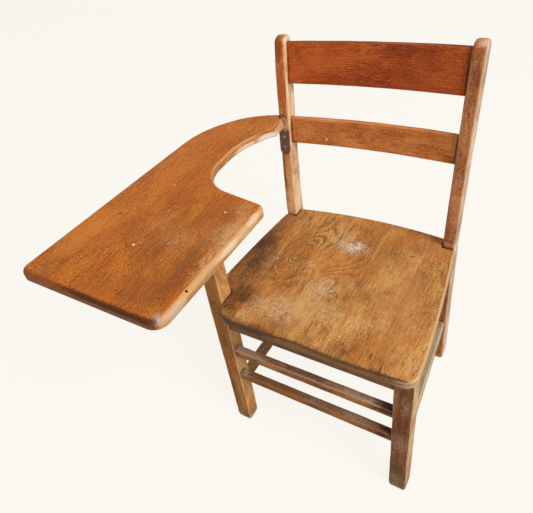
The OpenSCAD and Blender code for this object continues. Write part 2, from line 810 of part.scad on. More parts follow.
module tablet_cleat() color("tan") placed() {
    difference() {
        translate([cleat_x0, -cleat_s, tablet_under - cleat_s])
            cube([cleat_x1 - cleat_x0, cleat_s, cleat_s]);
        cleat_to_tablet(fit);
        cleat_to_post(fit);
    }
}

module cleat_screws() color("dimgray") placed() {
    cleat_to_tablet();
    cleat_to_post();
}

// Iron bracket: a plate on the back post, an ear beside the arm's end and a leg under it
module plate_outline() {
    half = strap_drop / 2;
    difference() {
        union() {
            translate([-strap_w / 2, -half + strap_w / 2])
                square([strap_w, 2 * half - strap_w / 2 - strap_t / 2]);
            translate([0, -half + strap_w / 2]) circle(r = strap_w / 2);
            polygon([[-ear_in, 0], [ear_out, 0], [ear_out, half],
                     [ear_out - ear_taper, half + ear_h], [-ear_in, half + ear_h]]);
        }
        for (v = plate_screw_v) translate([0, v]) circle(r = screw_d / 2 + fit);
    }
}

module arm_bracket() color("darkslategray") placed() {
    on_strap() linear_extrude(strap_t) plate_outline();
    difference() {
        translate([0, 0, tablet_under - strap_t]) linear_extrude(strap_t)
            polygon([leg_root + [strap_w / 2, -strap_t / 2], leg_root + [strap_w / 2, -10],
                     leg_root + leg_way * strap_reach - leg_side_way * strap_w / 2,
                     leg_root + leg_way * strap_reach + leg_side_way * strap_w / 2,
                     leg_root + [-strap_w / 2, -10], leg_root + [-strap_w / 2, -strap_t / 2]]);
        leg_screws(fit);
    }
}

module bracket_post_screws() color("dimgray") placed() plate_screws();

module bracket_arm_screws() color("dimgray") placed() leg_screws();

front_post_right();
front_leg_left();
rear_post_right();
rear_post_left();
front_rail();
rear_rail();
side_rail_right();
side_rail_left();
rail_dowels();
front_stretcher_upper();
front_stretcher_lower();
side_stretcher_right();
side_stretcher_left();
rear_stretcher();
crest_rail();
lower_slat();
seat_board_1();
seat_board_2();
seat_board_3();
seat_board_4();
seat_board_5();
corner_block_front_right();
corner_block_front_left();
corner_block_rear_right();
corner_block_rear_left();
block_screws();
seat_screws();
tablet_outer_board();
tablet_inner_board();
tablet_cleat();
cleat_screws();
tablet_post_dowel();
arm_bracket();
bracket_post_screws();
bracket_arm_screws();
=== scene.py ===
import bpy
import bmesh
import math
import random
from mathutils import Vector, Matrix, noise
from mathutils.geometry import delaunay_2d_cdt


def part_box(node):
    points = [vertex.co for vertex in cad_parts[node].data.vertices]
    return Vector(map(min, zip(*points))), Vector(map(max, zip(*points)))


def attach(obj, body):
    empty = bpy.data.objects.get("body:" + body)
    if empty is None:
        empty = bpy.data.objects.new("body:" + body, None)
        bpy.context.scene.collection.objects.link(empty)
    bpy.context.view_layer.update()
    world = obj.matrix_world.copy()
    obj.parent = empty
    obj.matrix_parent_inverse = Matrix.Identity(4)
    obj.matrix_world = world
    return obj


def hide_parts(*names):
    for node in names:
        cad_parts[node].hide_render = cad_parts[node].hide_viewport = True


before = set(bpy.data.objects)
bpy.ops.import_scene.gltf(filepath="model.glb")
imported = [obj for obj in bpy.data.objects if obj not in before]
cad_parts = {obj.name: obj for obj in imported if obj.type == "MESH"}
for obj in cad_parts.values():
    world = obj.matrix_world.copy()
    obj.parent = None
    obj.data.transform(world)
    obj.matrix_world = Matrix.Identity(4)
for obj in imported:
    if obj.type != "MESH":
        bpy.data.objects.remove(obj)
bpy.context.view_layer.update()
random.seed(7)
noise.seed_set(7)       # else the wobble of the bars would change from run to run

# The chair's own lines, in millimetres as the maker drew them: x = 0 on the centre line,
# y = 0 on the front faces of the front posts, z = 0 on the floor, x < 0 on the sitter's right.
chair = {
    "seatHeight": 445, "tabletHeight": 700, "tabletThick": 19.5, "backHeight": 862,
    "frontSpan": 436, "rearSpan": 390, "baseDepth": 328,
}
mm = 0.001
xWay, yWay, zWay = Vector((1, 0, 0)), Vector((0, 1, 0)), Vector((0, 0, 1))
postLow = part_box("front_post_right")[0]
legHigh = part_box("front_leg_left")[1]
chairOrigin = Vector(((postLow.x + legHigh.x) / 2, postLow.y, 0))


def toPart(p):
    return chairOrigin + Vector(p) * mm


def addObject(name, data):
    thing = bpy.data.objects.new(name, data)
    bpy.context.scene.collection.objects.link(thing)
    return thing


# Camera, at the photograph's place
view = {
    "place": (0.416844, -0.649185, 1.211742), "yaw": 0.7237797, "pitch": -0.6800994,
    "roll": -0.2344141, "lens": 34.8571, "sensor": 36, "shift": (0.0910577, -0.0131498),
    "clip": (0.05, 50),
}


def addCamera(s):
    sy, cy, sp, cp = math.sin(s["yaw"]), math.cos(s["yaw"]), math.sin(s["pitch"]), math.cos(s["pitch"])
    ahead = Vector((-sy * cp, cy * cp, sp))
    side = Vector((cy, sy, 0))
    top = side.cross(ahead)
    right = math.cos(s["roll"]) * side + math.sin(s["roll"]) * top
    up = math.cos(s["roll"]) * top - math.sin(s["roll"]) * side
    data = bpy.data.cameras.new("photoCamera")
    data.lens, data.sensor_width, data.sensor_fit = s["lens"], s["sensor"], "HORIZONTAL"
    data.shift_x, data.shift_y = s["shift"]
    data.clip_start, data.clip_end = s["clip"]
    cam = addObject("photoCamera", data)
    turn = Matrix((right, up, -ahead)).transposed()
    cam.matrix_world = Matrix.Translation(s["place"]) @ turn.to_4x4()
    bpy.context.scene.camera = cam


addCamera(view)
print("camera set")


# Colours are written as they look on screen, 0 to 255
def tone(r, g, b):
    lin = [c / 255 / 12.92 if c <= 10 else ((c / 255 + 0.055) / 1.055) ** 2.4 for c in (r, g, b)]
    return (*lin, 1)


# Small helpers, so that a material reads as a list of steps. Most work in the tree of the socket they get.
def emptyMaterial(name):
    mat = bpy.data.materials.new(name)
    mat.use_nodes = True
    mat.node_tree.nodes.clear()
    return mat, mat.node_tree


def addNode(tree, kind, props=None, **inputs):
    n = tree.nodes.new(kind)
    for key, value in (props or {}).items():
        setattr(n, key, value)
    setInputs(n, {key.replace("_", " "): value for key, value in inputs.items()})
    return n


def setInputs(node, values):        # the keys are the sockets' names or numbers
    for key, value in values.items():
        if isinstance(value, bpy.types.NodeSocket):
            node.id_data.links.new(value, node.inputs[key])
        else:
            node.inputs[key].default_value = value


def calc(op, a, b=0.0, clamp=False):
    n = addNode(a.id_data, "ShaderNodeMath", {"operation": op, "use_clamp": clamp})
    setInputs(n, {0: a, 1: b})
    return n.outputs[0]


def times(a, b):
    return calc("MULTIPLY", a, b)


def plus(a, b, clamp=False):
    return calc("ADD", a, b, clamp)


def less(a, b):
    return calc("SUBTRACT", a, b)


def vecCalc(op, a, b=(0, 0, 0), out=0):
    n = addNode(a.id_data, "ShaderNodeVectorMath", {"operation": op})
    setInputs(n, {0: a, 1: b})
    return n.outputs[out]


def scaled(vector, size):
    out = vecCalc("SCALE", vector)
    out.node.inputs["Scale"].default_value = size
    return out


def mixTone(factor, a, b):
    n = addNode(factor.id_data, "ShaderNodeMix", {"data_type": "RGBA"})
    setInputs(n, {0: factor, 6: a, 7: b})
    return n.outputs[2]


def lay(colour, mask, amount, shade):     # a shade over the colour, where the mask lets it
    return mixTone(times(mask, amount), colour, tone(*shade))


def fade(value, lo, hi, outLo=0.0, outHi=1.0):
    n = addNode(value.id_data, "ShaderNodeMapRange", {"interpolation_type": "SMOOTHSTEP"})
    setInputs(n, dict(enumerate((value, lo, hi, outLo, outHi))))
    return n.outputs[0]


def ramp(source, first, last, *between):      # each stop is (place, colour)
    n = addNode(source.id_data, "ShaderNodeValToRGB", Fac=source)
    stops = n.color_ramp.elements
    stops[0].position, stops[0].color = first
    stops[1].position, stops[1].color = last
    for at, colour in between:
        stops.new(at).color = colour
    return n.outputs[0]


def cloud(vector, scale, detail=2.0, rough=0.5, bend=0.0, out="Factor"):
    n = addNode(vector.id_data, "ShaderNodeTexNoise", Vector=vector, Scale=scale, Detail=detail,
                Roughness=rough, Distortion=bend)
    return n.outputs[out] if out in n.outputs else n.outputs[0]


def eitherWay(noiseColour):       # a noise's colour as a vector that points any way
    return vecCalc("SUBTRACT", noiseColour, (0.5, 0.5, 0.5))


def swing(source, share):     # a noise turned into a step either way
    return times(less(source, 0.5), share)


def bell(far, width):     # a bell curve
    return calc("EXPONENT", times(times(far, far), -1 / width ** 2))


def spotShape(place, at, size, turn):      # 0 at the middle of a spot, 1 at its rim
    spot = addNode(place.id_data, "ShaderNodeMapping", {"vector_type": "TEXTURE"}, Vector=place,
                   Location=toPart(at), Rotation=(0, 0, math.radians(turn)), Scale=[v * mm for v in size])
    return vecCalc("LENGTH", spot.outputs[0], out=1)


def surface(colour, rough, height, bump, lift, **levels):
    tree = colour.id_data
    raised = addNode(tree, "ShaderNodeBump", Strength=bump, Distance=lift, Height=height)
    shader = addNode(tree, "ShaderNodeBsdfPrincipled", Base_Color=colour, Roughness=rough,
                     Normal=raised.outputs[0], **levels)
    tree.links.new(shader.outputs[0], addNode(tree, "ShaderNodeOutputMaterial").inputs[0])


# An old oiled hardwood. "grain" runs along z of each piece's own grain coordinates; "wear" is
# above 0 where hands have rubbed an edge and below 0 where dirt has settled on it.
# figures: middle, half sizes, turn about z, lift of the rings. faces: way, colour, amount; painted light or
# painted shade for the faces turned that way.
# seams: x, the y where it shows most, half length. stains: middle, half sizes, colour, strength
# and, where it isn't 0, the turn about z. scars are the same, with their kind first.
woodBasics = {
    "pale": (214, 160, 96), "mid": (186, 122, 62), "deep": (140, 78, 34), "pore": (88, 48, 24),
    "warm": (190, 104, 44), "warmAmount": 0.35, "worn": (222, 180, 128), "grimeAndShade": (70, 44, 28),
    "soil": (120, 92, 68), "ring": 3.0, "pith": (0.02, -0.12), "slope": 0.012, "warp": 0.012,
    "bands": 0.14, "figureLines": 0.35, "fibre": 0.9, "speckle": 2.2, "blotch": 0.7, "blotchScale": 14,
    "flecks": 0.3, "pits": 0.4, "wearAmount": 0.6, "wearEdge": 0.5, "soilAmount": 0.85,
    "seamAmount": 0.7, "seamDirt": 0.3, "grimeAmount": 0.25, "cornerShadeAmount": 0.7, "poreAmount": 0.5,
    "rough": 0.52, "coat": 0.0, "coatRough": 0.3, "gloss": 0.09, "bump": 0.3, "lift": 0.0006,
    "stains": (), "scars": (), "figures": (), "seams": (), "faces": (),
}
# how light one growth ring is across its width: its two ends, then what lies between them
ringShades = ((0.0, 0.3), (1.0, 0.4), (0.2, 0.05), (0.62, 0.45), (0.88, 1.0))
# noises drawn out along the grain: how often they repeat across, through and along; detail; roughness
drawnNoises = {
    "coarse": ((330, 330, 28), 3, 0.65), "fine": ((700, 700, 90), 2, 0.7),
    "dashes": ((520, 520, 150), 3, 0.75), "pores": ((1000, 1000, 110), 1, 0.5),
    "pits": ((400, 400, 190), 2, 0.6),
}
alongTurns = {"x": (0, math.pi / 2, 0), "z": (0, 0, 0)}


def woodMaterial(name, own, axis=None):
    s = {**woodBasics, **own}
    mat, tree = emptyMaterial(name)
    place = addNode(tree, "ShaderNodeTexCoord").outputs["Object"]
    if axis:        # a solid without grain coordinates: its wood lines run along the axis
        grain = addNode(tree, "ShaderNodeMapping", Vector=place, Rotation=alongTurns[axis]).outputs[0]
        wear = 0.0
    else:
        grain = addNode(tree, "ShaderNodeAttribute", {"attribute_name": "grain"}).outputs["Vector"]
        wear = addNode(tree, "ShaderNodeAttribute", {"attribute_name": "wear"}).outputs["Fac"]
    ragged = eitherWay(cloud(place, 60, 3, 0.6, out="Color"))

    # growth rings round a pith that lies outside the board, bent by slow noise
    slow = cloud(vecCalc("MULTIPLY", grain, (9, 9, 2.2)), 1.0, 2, out="Color")
    bend = scaled(eitherWay(slow), s["warp"] * 2)
    bent = vecCalc("ADD", grain, bend)
    parts = addNode(tree, "ShaderNodeSeparateXYZ", Vector=bent)
    across = less(parts.outputs[0], s["pith"][0])
    depth = plus(parts.outputs[1], times(parts.outputs[2], s["slope"]))
    depth = less(depth, s["pith"][1])
    # a knot's swirl lifts the rings
    near = 0.0
    for at, size, turn, lift in s["figures"]:
        loose = vecCalc("ADD", place, vecCalc("MULTIPLY", bend, (1.4, 1.4, 1.4)))
        far = spotShape(loose, at, size, turn)
        depth = plus(depth, times(bell(far, 1.0), lift * mm))
        near = calc("MAXIMUM", bell(far, 1.35), near)
    radius = calc("SQRT", plus(times(across, across), times(depth, depth)))
    ringAt = calc("FRACT", times(radius, 1 / (s["ring"] * mm)))
    band = ramp(ringAt, *((at, (v, v, v, 1)) for at, v in ringShades))

    # fibres, flecks and pores
    drawn = {key: cloud(vecCalc("MULTIPLY", bent, often), 1.0, detail, rough)
             for key, (often, detail, rough) in drawnNoises.items()}
    coarse, fine = drawn["coarse"], drawn["fine"]
    pores = fade(drawn["pores"], 0.62, 0.72)
    pits = fade(drawn["pits"], 0.6, 0.69)
    speck = cloud(place, 300, 4, 0.75)
    blotch = cloud(vecCalc("MULTIPLY", bent, (1, 1, 0.5)), s["blotchScale"], 5, 0.6, 0.5)
    patch = cloud(place, s["blotchScale"] * 0.6, 3, 0.55, 0.6)
    clots = plus(coarse, blotch)

    # pale to deep by all of them together
    contrast = plus(times(near, s["figureLines"]), s["bands"]) if s["figures"] else s["bands"]
    amount = times(less(band, 0.42), contrast)
    for source, share in ((coarse, s["fibre"]), (fine, s["fibre"] * 0.8), (speck, s["speckle"]),
                          (blotch, s["blotch"] * 2.4)):
        amount = plus(amount, swing(source, share))
    amount = plus(amount, 0.5, True)
    colour = ramp(amount, (0.05, tone(*s["pale"])), (0.95, tone(*s["deep"])), (0.5, tone(*s["mid"])))
    colour = lay(colour, fade(patch, 0.42, 0.62), s["warmAmount"], s["warm"])
    colour = lay(colour, pores, s["poreAmount"], s["pore"])
    colour = lay(colour, pits, s["pits"], s["pore"])
    flecks = times(fade(drawn["dashes"], 0.56, 0.68), fade(patch, 0.35, 0.6, 1.0, 0.35))
    colour = lay(colour, flecks, s["flecks"], s["worn"])

    # painted light and shade: faces that point the given way get the given colour, paler where they face
    # the light and darker where they lie in shade
    normal = addNode(tree, "ShaderNodeNewGeometry").outputs["True Normal"]
    for way, shade, strength in s["faces"]:
        facing = vecCalc("DOT_PRODUCT", normal, way, out=1)
        rub = times(fade(facing, 0.5, 0.9), fade(clots, 0.8, 1.15, 1.0, 0.3))
        colour = lay(colour, rub, strength, shade)

    # dirt in patches
    smudge = fade(cloud(place, 26, 5, 0.65, 0.6), 0.52, 0.74)
    colour = lay(colour, smudge, s["grimeAmount"], s["grimeAndShade"])

    # glue lines between boards, pale near their middle and dark elsewhere
    where = addNode(tree, "ShaderNodeSeparateXYZ", Vector=place)
    for x, y, half in s["seams"]:
        off = calc("ABSOLUTE", less(where.outputs[0], toPart((x, 0, 0)).x))
        line = times(fade(off, 0.4 * mm, 1.3 * mm, 1.0, 0.0), fade(coarse, 0.35, 0.6, 0.3, 1.0))
        shows = bell(less(where.outputs[1], toPart((0, y, 0)).y), half * mm)
        colour = lay(colour, line, s["seamDirt"], s["grimeAndShade"])
        colour = lay(colour, times(line, shows), s["seamAmount"], s["worn"])

    def markAt(colour, kind, at, size, shade, strength, turn=0):
        fray = 0.6 if kind == "chip" else 1.6
        loose = vecCalc("ADD", place, scaled(ragged, min(size) * mm * fray))
        far = spotShape(loose, at, size, turn)
        if kind == "chip":
            mask = fade(far, 0.6, 1.0, strength, 0.0)
        elif kind == "scuff":       # many short scratches and specks
            hairs = plus(drawn["dashes"], swing(speck, 0.5))
            mask = times(fade(far, 0.1, 1.0, strength, 0.0), fade(hairs, 0.44, 0.6, 0.06, 1.0))
        else:                       # a stain follows the fibres
            mask = times(fade(far, 0.15, 1.0, strength, 0.0), fade(clots, 0.8, 1.2, 0.55, 1.0))
        return mixTone(mask, colour, tone(*shade))

    for mark in s["stains"]:
        colour = markAt(colour, "stain", *mark)

    # edges rubbed back to paler wood, or dark with dirt
    scatter = plus(swing(coarse, 0.5), swing(speck, 0.6))
    scatter = plus(scatter, swing(blotch, 1.1))
    bare = fade(plus(scatter, wear), s["wearEdge"] - 0.1, s["wearEdge"] + 0.5)
    bare = times(bare, s["wearAmount"])
    colour = mixTone(bare, colour, tone(*s["worn"]))
    soiled = fade(less(times(scatter, 0.6), wear), 0.15, 0.8)
    colour = lay(colour, soiled, s["soilAmount"], s["soil"])
    for mark in s["scars"]:         # scratches and chips lie over the rubbed edges
        colour = markAt(colour, *mark)

    # painted shade in the corners where pieces meet, in the grime colour, darker where other parts lie
    # close
    cornerShade = addNode(tree, "ShaderNodeAmbientOcclusion", {"samples": 6}, Distance=7 * mm).outputs["AO"]
    colour = lay(colour, fade(cornerShade, 0.35, 0.85, 1.0, 0.0), s["cornerShadeAmount"], s["grimeAndShade"])

    rough = plus(swing(coarse, 0.25), s["rough"])
    rough = plus(rough, times(bare, 0.12), True)
    height = plus(times(fine, 0.5), times(coarse, 0.6))
    height = less(height, times(pores, 0.8))
    height = plus(height, times(band, 0.15))
    surface(colour, rough, height, s["bump"], s["lift"], Coat_Weight=s["coat"],
            Coat_Roughness=s["coatRough"], Specular_IOR_Level=s["gloss"])
    return mat


def metalMaterial(name, s):
    mat, tree = emptyMaterial(name)
    place = addNode(tree, "ShaderNodeTexCoord").outputs["Object"]
    patches = fade(cloud(place, 160, 5, 0.65, 0.5), 0.42, 0.62)
    speckle = cloud(place, 1400, 3, 0.6)
    colour = mixTone(patches, tone(*s["dark"]), tone(*s["rust"]))
    colour = lay(colour, speckle, 0.5, (28, 20, 16))
    if "bendAt" in s:       # the height above which the metal is painted paler: a painted highlight on the bend and painted light on the ear
        high = addNode(tree, "ShaderNodeSeparateXYZ", Vector=place).outputs[2]
        high = plus(high, swing(patches, 4 * mm))
        bendShine = fade(high, (s["bendAt"] - 4) * mm, s["bendAt"] * mm, 0.0, 0.85)
        colour = mixTone(bendShine, colour, tone(*s["bendHighlight"]))
    roughness = plus(times(patches, 0.25), s["rough"], True)
    height = plus(times(patches, 0.5), times(speckle, 0.5))
    surface(colour, roughness, height, s["bump"], s["lift"], Metallic=s["metal"])
    return mat


def toMesh(bm, name):       # the bmesh is let go
    mesh = bpy.data.meshes.new(name)
    bm.to_mesh(mesh)
    bm.free()
    return mesh


# Turns a finished bmesh, in chair millimetres, into a piece that rides on the chair.
# grainOf gives (across, through, along) in millimetres for a point.
def finishPiece(bm, name, material, node, grainOf, sharp=38):
    bmesh.ops.dissolve_degenerate(bm, dist=1e-3, edges=bm.edges)
    bmesh.ops.recalc_face_normals(bm, faces=bm.faces)
    shift = random.uniform(-2, 2)       # so that no two pieces come from the same tree
    grains = []
    for v in bm.verts:
        across, through, along = grainOf(v.co)
        grains += [across * mm, through * mm, along * mm + shift]
        v.co = toPart(v.co)
    mesh = toMesh(bm, name)
    mesh.attributes.new("grain", "FLOAT_VECTOR", "POINT").data.foreach_set("vector", grains)
    for p in mesh.polygons:
        p.use_smooth = True
    mesh.set_sharp_from_angle(angle=math.radians(sharp))
    mesh.materials.append(material)
    piece = addObject(name, mesh)
    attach(piece, "root")
    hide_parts(node)


def newMesh():
    bm = bmesh.new()
    bm.verts.layers.float.new("wear")
    return bm


def addVert(bm, p, wear=0.0):
    v = bm.verts.new(p)
    v[bm.verts.layers.float["wear"]] = wear
    return v


# Plan curves
def arc(c, r, a0, a1, n):
    steps = [math.radians(a0 + (a1 - a0) * i / n) for i in range(n + 1)]
    return [Vector((c[0] + r * math.cos(a), c[1] + r * math.sin(a))) for a in steps]


def fillet(a, b, c, r, n=10):
    a, b, c = Vector(a), Vector(b), Vector(c)
    u, v = (a - b).normalized(), (c - b).normalized()
    half = math.acos(max(-1, min(1, u.dot(v)))) / 2
    o = b + (u + v).normalized() * r / math.sin(half)
    t = b + u * r / math.tan(half)
    start = math.degrees(math.atan2(t.y - o.y, t.x - o.x))
    way = -1 if u.x * v.y - u.y * v.x > 0 else 1
    return arc(o, r, start, start + way * (180 - 2 * math.degrees(half)), n)


def spaced(outline, step):      # cuts long straight runs into short ones
    out = []
    for i, p in enumerate(outline):
        q = outline[(i + 1) % len(outline)]
        n = max(1, round((q - p).length / step))
        out += [p.lerp(q, k / n) for k in range(n)]
    return [p for i, p in enumerate(out) if (p - out[i - 1]).length > 0.05]


def inside(p, ring):
    hit = False
    for i, a in enumerate(ring):
        b = ring[i - 1]
        if (a.y > p.y) != (b.y > p.y) and p.x < (b.x - a.x) * (p.y - a.y) / (b.y - a.y) + a.x:
            hit = not hit
    return hit


def smoothLoop(values, rounds):
    for k in range(rounds):
        n = len(values)
        values = [(values[i - 1] + 2 * values[i] + values[(i + 1) % n]) / 4 for i in range(n)]
    return values


def joinRings(bm, rings):       # a skin from ring to ring, closed at the first one
    for low, high in zip(rings, rings[1:]):
        for i in range(len(low)):
            j = (i + 1) % len(low)
            bm.faces.new((low[i], low[j], high[j], high[i]))
    bm.faces.new(list(reversed(rings[0])))


def closeSkin(bm, rings):
    joinRings(bm, rings)
    bm.faces.new(rings[-1])


# A flat or hollowed board cut to an outline (anticlockwise), with rounded edges.
# topAt(x, y) is its upper face; upperEdge and lowerEdge give the roundings at (point, outward way),
# and rubAt how much each edge is rubbed (above 0) or dirty (below 0).
# grid and step are the mesh's sizes on the face and along the edge, band the width of the last ring,
# turns the cuts round an edge, soften how far changes along the edge are smoothed, and reach how far
# from a sharp corner its neighbours move.
def slab(bm, outline, topAt, under, upperEdge, lowerEdge, rubAt, grid, step, band, turns, soften=4,
         reach=26):
    pts = spaced(outline, step)
    n = len(pts)
    ways = [(pts[(i + 1) % n] - pts[i]).normalized() for i in range(n)]
    mitre = []
    for i in range(n):
        n0, n1 = Vector((-ways[i - 1].y, ways[i - 1].x)), Vector((-ways[i].y, ways[i].x))
        m = (n0 + n1).normalized()
        mitre.append(m / max(0.4, m.dot(n1)))
    outways = [-m.normalized() for m in mitre]
    # the points beside a sharp corner slide along with it, so that the rings don't cross there
    sharp = [abs(mitre[i].dot(ways[i])) > 0.3 for i in range(n)]
    inward = list(mitre)
    for i in range(n):
        for turn in (1, -1) if sharp[i] else ():
            slide = mitre[i].dot(ways[i] if turn > 0 else ways[i - 1])
            j, gone = i, 0
            while True:
                k = (j + turn) % n
                gone += (pts[k] - pts[j]).length
                if gone > reach or sharp[k]:
                    break
                inward[k] = inward[k] + ways[j if turn > 0 else k] * slide * (1 - gone / reach)
                j = k
    upper = smoothLoop([upperEdge(p, w) for p, w in zip(pts, outways)], soften)
    lower = smoothLoop([lowerEdge(p, w) for p, w in zip(pts, outways)], soften)
    rub = smoothLoop([rubAt(p, w) for p, w in zip(pts, outways)], soften + 2)
    rings = []

    def addRing(inset, drop, fromTop, wear):
        ring = []
        for i in range(n):
            q = pts[i] + inward[i] * inset[i]
            z = topAt(q.x, q.y) - drop[i] if fromTop else under + drop[i]
            ring.append(addVert(bm, (q.x, q.y, z), wear * rub[i]))
        rings.append(ring)

    addRing([r + 1.5 for r in lower], [0] * n, False, 0.1)
    for k in range(turns + 1):
        a = math.pi / 2 * k / turns
        addRing([r * (1 - math.sin(a)) for r in lower], [r * (1 - math.cos(a)) for r in lower], False,
                0.35 + 0.45 * math.sin(2 * a))
    for k in range(turns + 1):
        a = math.pi / 2 * k / turns
        addRing([r * (1 - math.cos(a)) for r in upper], [r * (1 - math.sin(a)) for r in upper], True,
                0.45 + 0.55 * math.sin(2 * a))
    addRing([r + 1.2 for r in upper], [0] * n, True, 0.4)
    addRing([r + band for r in upper], [0] * n, True, 0.0)
    joinRings(bm, rings)

    # the upper face: a grid inside the last ring
    edge = [Vector(v.co.xy) for v in rings[-1]]
    xs, ys = [p.x for p in edge], [p.y for p in edge]
    loose = []
    x = math.ceil(min(xs) / grid) * grid
    while x < max(xs):
        y = math.ceil(min(ys) / grid) * grid
        while y < max(ys):
            p = Vector((x, y))
            if inside(p, edge) and min((p - e).length for e in edge) > grid * 0.55:
                loose.append(p)
            y += grid
        x += grid
    made = delaunay_2d_cdt(edge + loose, [], [list(range(n))], 1, 1e-4)
    verts = []
    for p, source in zip(made[0], made[3]):
        verts.append(rings[-1][source[0]] if source and source[0] < n
                     else addVert(bm, (p.x, p.y, topAt(p.x, p.y))))
    for face in made[2]:
        bm.faces.new([verts[i] for i in face])


# Saws a mesh through and keeps the side that the way points away from.
def saw(bm, point, way):
    cut = bmesh.ops.bisect_plane(bm, geom=bm.verts[:] + bm.edges[:] + bm.faces[:], dist=1e-4,
                                 plane_co=point, plane_no=way, clear_outer=True)["geom_cut"]
    bmesh.ops.holes_fill(bm, edges=[e for e in cut if isinstance(e, bmesh.types.BMEdge)])


# One ring of a bar: a rounded rectangle with half sizes a, b and a radius for each corner.
# band is the strip beside a corner over which the rub runs out, turns the cuts round a corner.
def barRing(bm, centre, u, v, a, b, radii, inset=0.0, band=3.5, turns=3, rub=1.0):
    ring = []
    for q in range(4):
        r = max(0.15, min(radii[q] - inset * 0.5, a - inset, b - inset))
        su, sv = ((1, 1), (-1, 1), (-1, -1), (1, -1))[q]
        cu, cv = su * (a - inset - r), sv * (b - inset - r)
        sides = (b - inset, a - inset) if q % 2 == 0 else (a - inset, b - inset)
        leads = [min(band, max(0.05, side - r) * 0.8) for side in sides]
        for k in range(turns + 1):
            t = (q + k / turns) * math.pi / 2
            along = Vector((-math.sin(t), math.cos(t)))
            corner = Vector((cu + r * math.cos(t), cv + r * math.sin(t)))
            if k == 0:
                ring.append((corner - along * leads[0], 0.12 * rub))
            ring.append((corner, (0.55 + 0.45 * math.sin(math.pi * k / turns)) * rub))
        ring.append((corner + along * leads[1], 0.12 * rub))
    return [addVert(bm, centre + u * p.x + v * p.y, w) for p, w in ring]


def endSteps(r, turns=4):       # (distance from the end, inset) of the rings that round an end
    steps = [math.pi / 2 * k / turns for k in range(turns + 1)]
    return [(r * (1 - math.cos(a)), r * (1 - math.sin(a))) for a in steps]


# Old bars are never quite true: how far the middle strays, and how the edges' roundness varies
def stray(at, scale, seed, size):
    return noise.noise_vector(at * scale + Vector((seed, 0, 0))) * size


def vary(at, scale, seed, size):
    return 1 + size * noise.noise(at * scale + Vector((0, seed, 0)))


# A straight bar from start to end with its broad ways u and v
bars = {"step": 12, "strayScale": 0.021, "stray": 0.25, "varyScale": 0.035, "vary": 0.45}


def bar(bm, start, end, u, v, a, b, radii, endRound, seed):
    start, end, u, v = Vector(start), Vector(end), Vector(u).normalized(), Vector(v).normalized()
    length = (end - start).length
    way = (end - start) / length
    stations = sorted(endSteps(endRound, 3))
    inner = length - 2 * endRound
    n = max(2, round(inner / bars["step"]))
    stations = (stations + [(endRound + inner * i / n, 0.0) for i in range(1, n)]
                + [(length - at, inset) for at, inset in reversed(stations)])
    rings = []
    for at, inset in stations:
        where = start + way * at
        jog = stray(where, bars["strayScale"], seed, bars["stray"])
        more = vary(where, bars["varyScale"], seed, bars["vary"])
        rings.append(barRing(bm, where + u * jog.x + v * jog.y, u, v, a, b,
                             [r * more for r in radii], inset))
    closeSkin(bm, rings)


# Posts and legs
posts = {
    "legSide": 37.5, "footSide": 36.5, "width": 24, "depth": 39, "topDepth": 32, "rake": 64,
    "lean": 13, "bow": 18, "kneeBlend": 45, "dome": 13, "splay": 0.4, "underSeat": 424,
    "frontEdges": (2.0, 2.0, 2.4, 2.4), "rearEdges": (2.6, 2.6, 3.6, 3.6), "footRound": 7, "step": 11,
    "headRound": 0.4, "topEdges": 6.5, "topReach": 40, "domeTurns": 10, "domeSlim": 4.5,
    "toeRound": 5, "toeHigh": 16, "rub": 0.9, "strayScale": 0.017, "frontStray": 0.35, "rearStray": 0.3,
    "varyScale": 0.03, "frontVary": 0.6, "rearVary": 0.5,
}
rearCx = chair["rearSpan"] / 2 - posts["width"] / 2


def rise(z):
    return max(0, z - chair["seatHeight"]) / (chair["backHeight"] - chair["seatHeight"])


def postFront(z):       # y of a back post's front face
    u, k = chair["seatHeight"] - z, posts["kneeBlend"]
    knee = 0 if u <= -k else u if u >= k else (u + k) ** 2 / (4 * k)
    return (chair["baseDepth"] + posts["rake"] / chair["seatHeight"] * knee
            + posts["lean"] * rise(z) + posts["bow"] * rise(z) ** 2)


def postTilt(z):
    climb = chair["backHeight"] - chair["seatHeight"]
    return math.atan((posts["lean"] + 2 * posts["bow"] * rise(z)) / climb)


def postDepth(z):
    return posts["depth"] + (posts["topDepth"] - posts["depth"]) * rise(z)


def postCx(z):
    return rearCx + (z - chair["seatHeight"]) * math.tan(math.radians(posts["splay"]))


def legSide(z):
    return posts["footSide"] + (posts["legSide"] - posts["footSide"]) * min(1, z / posts["underSeat"])


def toe(z):         # how much rounder the corners are at the foot
    return posts["toeRound"] * max(0, 1 - z / posts["toeHigh"])


def climbing(top, endRound):        # (height, inset) of a post's rings, from the rounded foot up
    foot = posts["footRound"]
    run = top - endRound - foot
    n = round(run / posts["step"])
    return sorted(endSteps(foot)) + [(foot + run * k / n, 0.0) for k in range(1, n)]


def frontPost(name, side, top, node, material):
    bm = newMesh()
    rings = []
    head = [(top - at, inset) for at, inset in reversed(sorted(endSteps(posts["headRound"])))]
    for z, inset in climbing(top, posts["headRound"]) + head:
        s = legSide(z)
        centre = Vector((side * (chair["frontSpan"] / 2 - s / 2), s / 2, z))
        jog = stray(centre, posts["strayScale"], side * 3, posts["frontStray"])
        more = vary(centre, posts["varyScale"], side, posts["frontVary"])
        rings.append(barRing(bm, centre + Vector((jog.x, jog.y, 0)), xWay, yWay, s / 2, s / 2,
                             [r * more + toe(z) for r in posts["frontEdges"]], inset, rub=posts["rub"]))
    closeSkin(bm, rings)
    finishPiece(bm, name, material, node, lambda p: p)


